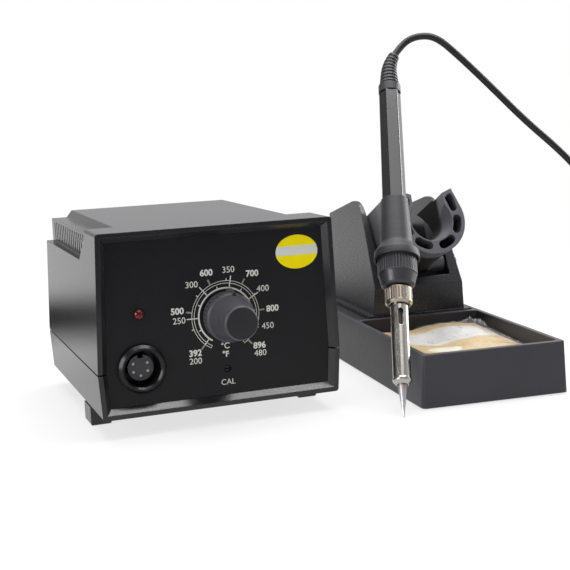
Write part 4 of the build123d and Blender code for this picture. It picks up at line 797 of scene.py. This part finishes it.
# Tower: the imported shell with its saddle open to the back, thinner cheeks, and peaks further back and rounder
gap_half, half_low, half_high = 20.5, 28.2, 24.2
deck_z, saddle_z, rear_top_z = 25.7, 48.0, 70.0
cheek_thinned = 1.8      # at the peak
rear_from = 177.0        # points behind this move back
rear_moved = 3.0         # at the deck, and 1 mm more at the top
kink, rear = Vector((103.0, 44.0)), Vector((180.5, 80.8))
old_peak, old_round = Vector((127.5, 93.3)), 7.0
new_peak, new_round = Vector((133.4, 93.0)), 16.0


def rounding(peak, radius):
    """Centre of the round between the cheek's front and top lines, and the angles where it starts and ends."""
    to_kink, to_rear = (kink - peak).normalized(), (rear - peak).normalized()
    middle = (to_kink + to_rear).normalized()
    round_at = peak + middle * (radius / math.sin(to_kink.angle(to_rear) / 2))
    starts = Vector((to_kink.y, -to_kink.x))
    ends = Vector((-to_rear.y, to_rear.x))
    return round_at, math.atan2(starts.y, starts.x), math.atan2(ends.y, ends.x)


def outer_half(z):
    """Half the tower's width over its drafted cheeks at a height."""
    return half_low - (half_low - half_high) * (z - deck_z) / (old_peak.y - deck_z)


def reshaped(a, b, z):
    """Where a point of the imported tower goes, in the stand's across, back and height."""
    outside = abs(abs(a - TOWER_MID) - outer_half(z)) < 0.05
    stretch = rear_moved + (z - deck_z) / (rear.y - deck_z) if b > rear_from else 0.0
    spot = Vector((b, z))
    round_at, starts, ends = rounding(old_peak, old_round)
    off = spot - round_at
    angle = math.atan2(off.y, off.x)
    if abs(off.length - old_round) < 0.03 and ends - 0.01 < angle < starts + 0.01:
        share = (starts - angle) / (starts - ends)
        round_at, starts, ends = rounding(new_peak, new_round)
        angle = starts + (ends - starts) * share
        spot = round_at + Vector((math.cos(angle), math.sin(angle))) * new_round
    elif z > kink.y + 0.01:
        for end in (kink, rear):
            line = old_peak - end
            if abs(line.cross(spot - end)) / line.length < 0.03:
                line = new_peak - end
                if end is kink:
                    spot.x = kink.x + line.x * (z - kink.y) / line.y
                else:
                    spot.y = rear.y + line.y * (b + stretch - rear.x) / line.x
    spot.x += stretch
    way = 1 if a > TOWER_MID else -1
    if outside:
        a = TOWER_MID + way * outer_half(spot.y)
    elif abs(abs(a - TOWER_MID) - gap_half) < 0.02 and z > saddle_z + 0.01:
        a = TOWER_MID + way * (gap_half + cheek_thinned * (spot.y - saddle_z) / (new_peak.y - saddle_z))
    return a, spot.x, spot.y


block_v = [on_stand(TOWER_MID + way * gap_half, b, z)
           for way in (-1, 1) for b in (150.0, 195.0) for z in (rear_top_z, 120.0)]
block_f = [(0, 1, 3, 2), (4, 6, 7, 5), (0, 4, 5, 1), (2, 3, 7, 6), (0, 2, 6, 4), (1, 5, 7, 3)]
block_mesh = bpy.data.meshes.new("saddle_block")
block_mesh.from_pydata(block_v, [], block_f)
block = linked("saddle_block", block_mesh)
uncut = linked("tower_uncut", nodes["stand_tower"].data.copy())
cut = uncut.modifiers.new("saddle", "BOOLEAN")
cut.operation, cut.solver, cut.object = "DIFFERENCE", "EXACT", block
bpy.context.view_layer.update()
tower_mesh = bpy.data.meshes.new_from_object(uncut.evaluated_get(bpy.context.evaluated_depsgraph_get()))
tower_mesh.name = "tower_shell"
for helper in (block, uncut):
    bpy.data.objects.remove(helper)
for vertex in tower_mesh.vertices:
    apart = Vector(vertex.co) / MM - STAND
    vertex.co = on_stand(*reshaped(apart.dot(stand_across), apart.dot(stand_back), apart.z))
tower_mesh.materials.clear()
tower_mesh.materials.append(tower_shaded_plastic)
for stale in ("custom_normal", "sharp_edge", "sharp_face"):
    if stale in tower_mesh.attributes:
        tower_mesh.attributes.remove(tower_mesh.attributes[stale])
tower_mesh.update()
tower_mesh.shade_smooth()
tower_mesh.set_sharp_from_angle(angle=math.radians(30))
tower = linked("tower_shell", tower_mesh)
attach(tower, ROOT)
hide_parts("stand_tower")


# Studio: pale floor, white surroundings, large soft lamps
def floor_material():
    """Pale floor that fades to white away from the part and shows a dark card in reflections only."""
    material, tree, bsdf, coord = start("floor")
    cloud = noise_of(tree, coord, 6.0, 2.0)
    pale = mixed(tree, cloud, (0.80, 0.80, 0.80, 1), (0.84, 0.84, 0.84, 1))
    tree.links.new(pale, bsdf.inputs["Base Color"])
    bsdf.inputs["Roughness"].default_value = 0.9
    bsdf.inputs["Specular IOR Level"].default_value = 0.0
    glow = tree.nodes.new("ShaderNodeEmission")
    glow.inputs["Color"].default_value = (1, 1, 1, 1)
    path = tree.nodes.new("ShaderNodeLightPath").outputs
    away = ranged(tree, vectors(tree, "LENGTH", coord), 0.25, 0.6, 0.72, 1.0)
    share = maths(tree, "MULTIPLY", path["Is Camera Ray"], away)
    share = maths(tree, "MAXIMUM", share, path["Is Glossy Ray"])
    share = maths(tree, "MAXIMUM", share, path["Is Transmission Ray"])
    spot = axes(tree, coord)
    card = maths(tree, "MULTIPLY", ranged(tree, spot["Y"], 0.14, 0.25, 0.0, 1.0),
                 ranged(tree, spot["Y"], 0.31, 0.42, 1.0, 0.0))
    card = maths(tree, "MULTIPLY", card, ranged(tree, spot["X"], 0.02, 0.08, 0.97, 0.0))
    card = maths(tree, "MAXIMUM", card, ranged(tree, spot["Y"], 0.05, 0.14, 0.18, 0.0))
    card = maths(tree, "MULTIPLY", card, path["Is Glossy Ray"])
    tree.links.new(maths(tree, "SUBTRACT", 1.0, card), glow.inputs["Strength"])
    blend = tree.nodes.new("ShaderNodeMixShader")
    tree.links.new(share, blend.inputs["Fac"])
    tree.links.new(bsdf.outputs["BSDF"], blend.inputs[1])
    tree.links.new(glow.outputs["Emission"], blend.inputs[2])
    tree.links.new(blend.outputs["Shader"], tree.nodes["Material Output"].inputs["Surface"])
    return material


floor_half, floor_near, floor_far = 1.6, -0.36, 2.2
floor_mesh = bpy.data.meshes.new("floor")
floor_mesh.from_pydata([(-floor_half, floor_near, 0), (floor_half, floor_near, 0),
                        (floor_half, floor_far, 0), (-floor_half, floor_far, 0)], [], [(0, 1, 2, 3)])
floor = linked("floor", floor_mesh)
floor_mesh.materials.append(floor_material())

# Surroundings: white to the camera, darker in front and on the left for reflections
world = bpy.data.worlds.new("studio")
bpy.context.scene.world = world
world.use_nodes = True
sky = world.node_tree
background = sky.nodes["Background"]
view_dir = sky.nodes.new("ShaderNodeTexCoord").outputs["Generated"]
in_front = ranged(sky, vectors(sky, "DOT_PRODUCT", view_dir, (-0.36, -0.93, 0.0)), 0.1, 0.75, 0.0, 1.0)
studio = mixed(sky, in_front, (0.66, 0.66, 0.67, 1), (0.16, 0.16, 0.17, 1))
on_left = ranged(sky, vectors(sky, "DOT_PRODUCT", view_dir, (-0.93, 0.25, 0.28)), 0.35, 0.8, 0.0, 1.0)
studio = mixed(sky, on_left, studio, (0.2, 0.2, 0.2, 1))
sky_path = sky.nodes.new("ShaderNodeLightPath").outputs
plain_white = maths(sky, "MAXIMUM", sky_path["Is Camera Ray"], sky_path["Is Transmission Ray"])
sky.links.new(mixed(sky, plain_white, studio, (1, 1, 1, 1)), background.inputs["Color"])
background.inputs["Strength"].default_value = 1.0


def softbox(name, place, target, size, power):
    """Rectangular lamp turned towards a target."""
    data = bpy.data.lights.new(name, "AREA")
    data.shape = "RECTANGLE"
    data.size, data.size_y = size
    data.energy = power
    lamp = linked(name, data)
    lamp.location = place
    lamp.rotation_euler = (Vector(target) - Vector(place)).to_track_quat("-Z", "Y").to_euler()


softbox("top_box", (0.0, 0.15, 1.1), (0, 0, 0), (1.2, 0.9), 12.5)
softbox("left_box", (-1.0, -0.36, 0.32), (0, 0, 0.08), (0.5, 0.62), 6.0)
softbox("front_box", (-0.06, -0.52, 1.0), (0.05, -0.04, 0.13), (0.6, 0.6), 1.4)
softbox("rim_box_left", (0.18, -0.27, 1.1), (-0.06, -0.07, 0.03), (0.2, 0.3), 1.1)
softbox("rim_box_right", (0.50, -0.27, 1.1), (0.0, -0.07, 0.03), (0.2, 0.3), 1.1)
softbox("right_box", (0.95, 0.15, 0.36), (0.05, 0, 0.12), (0.5, 0.7), 7.0)

bpy.context.scene.view_settings.view_transform = "Standard"
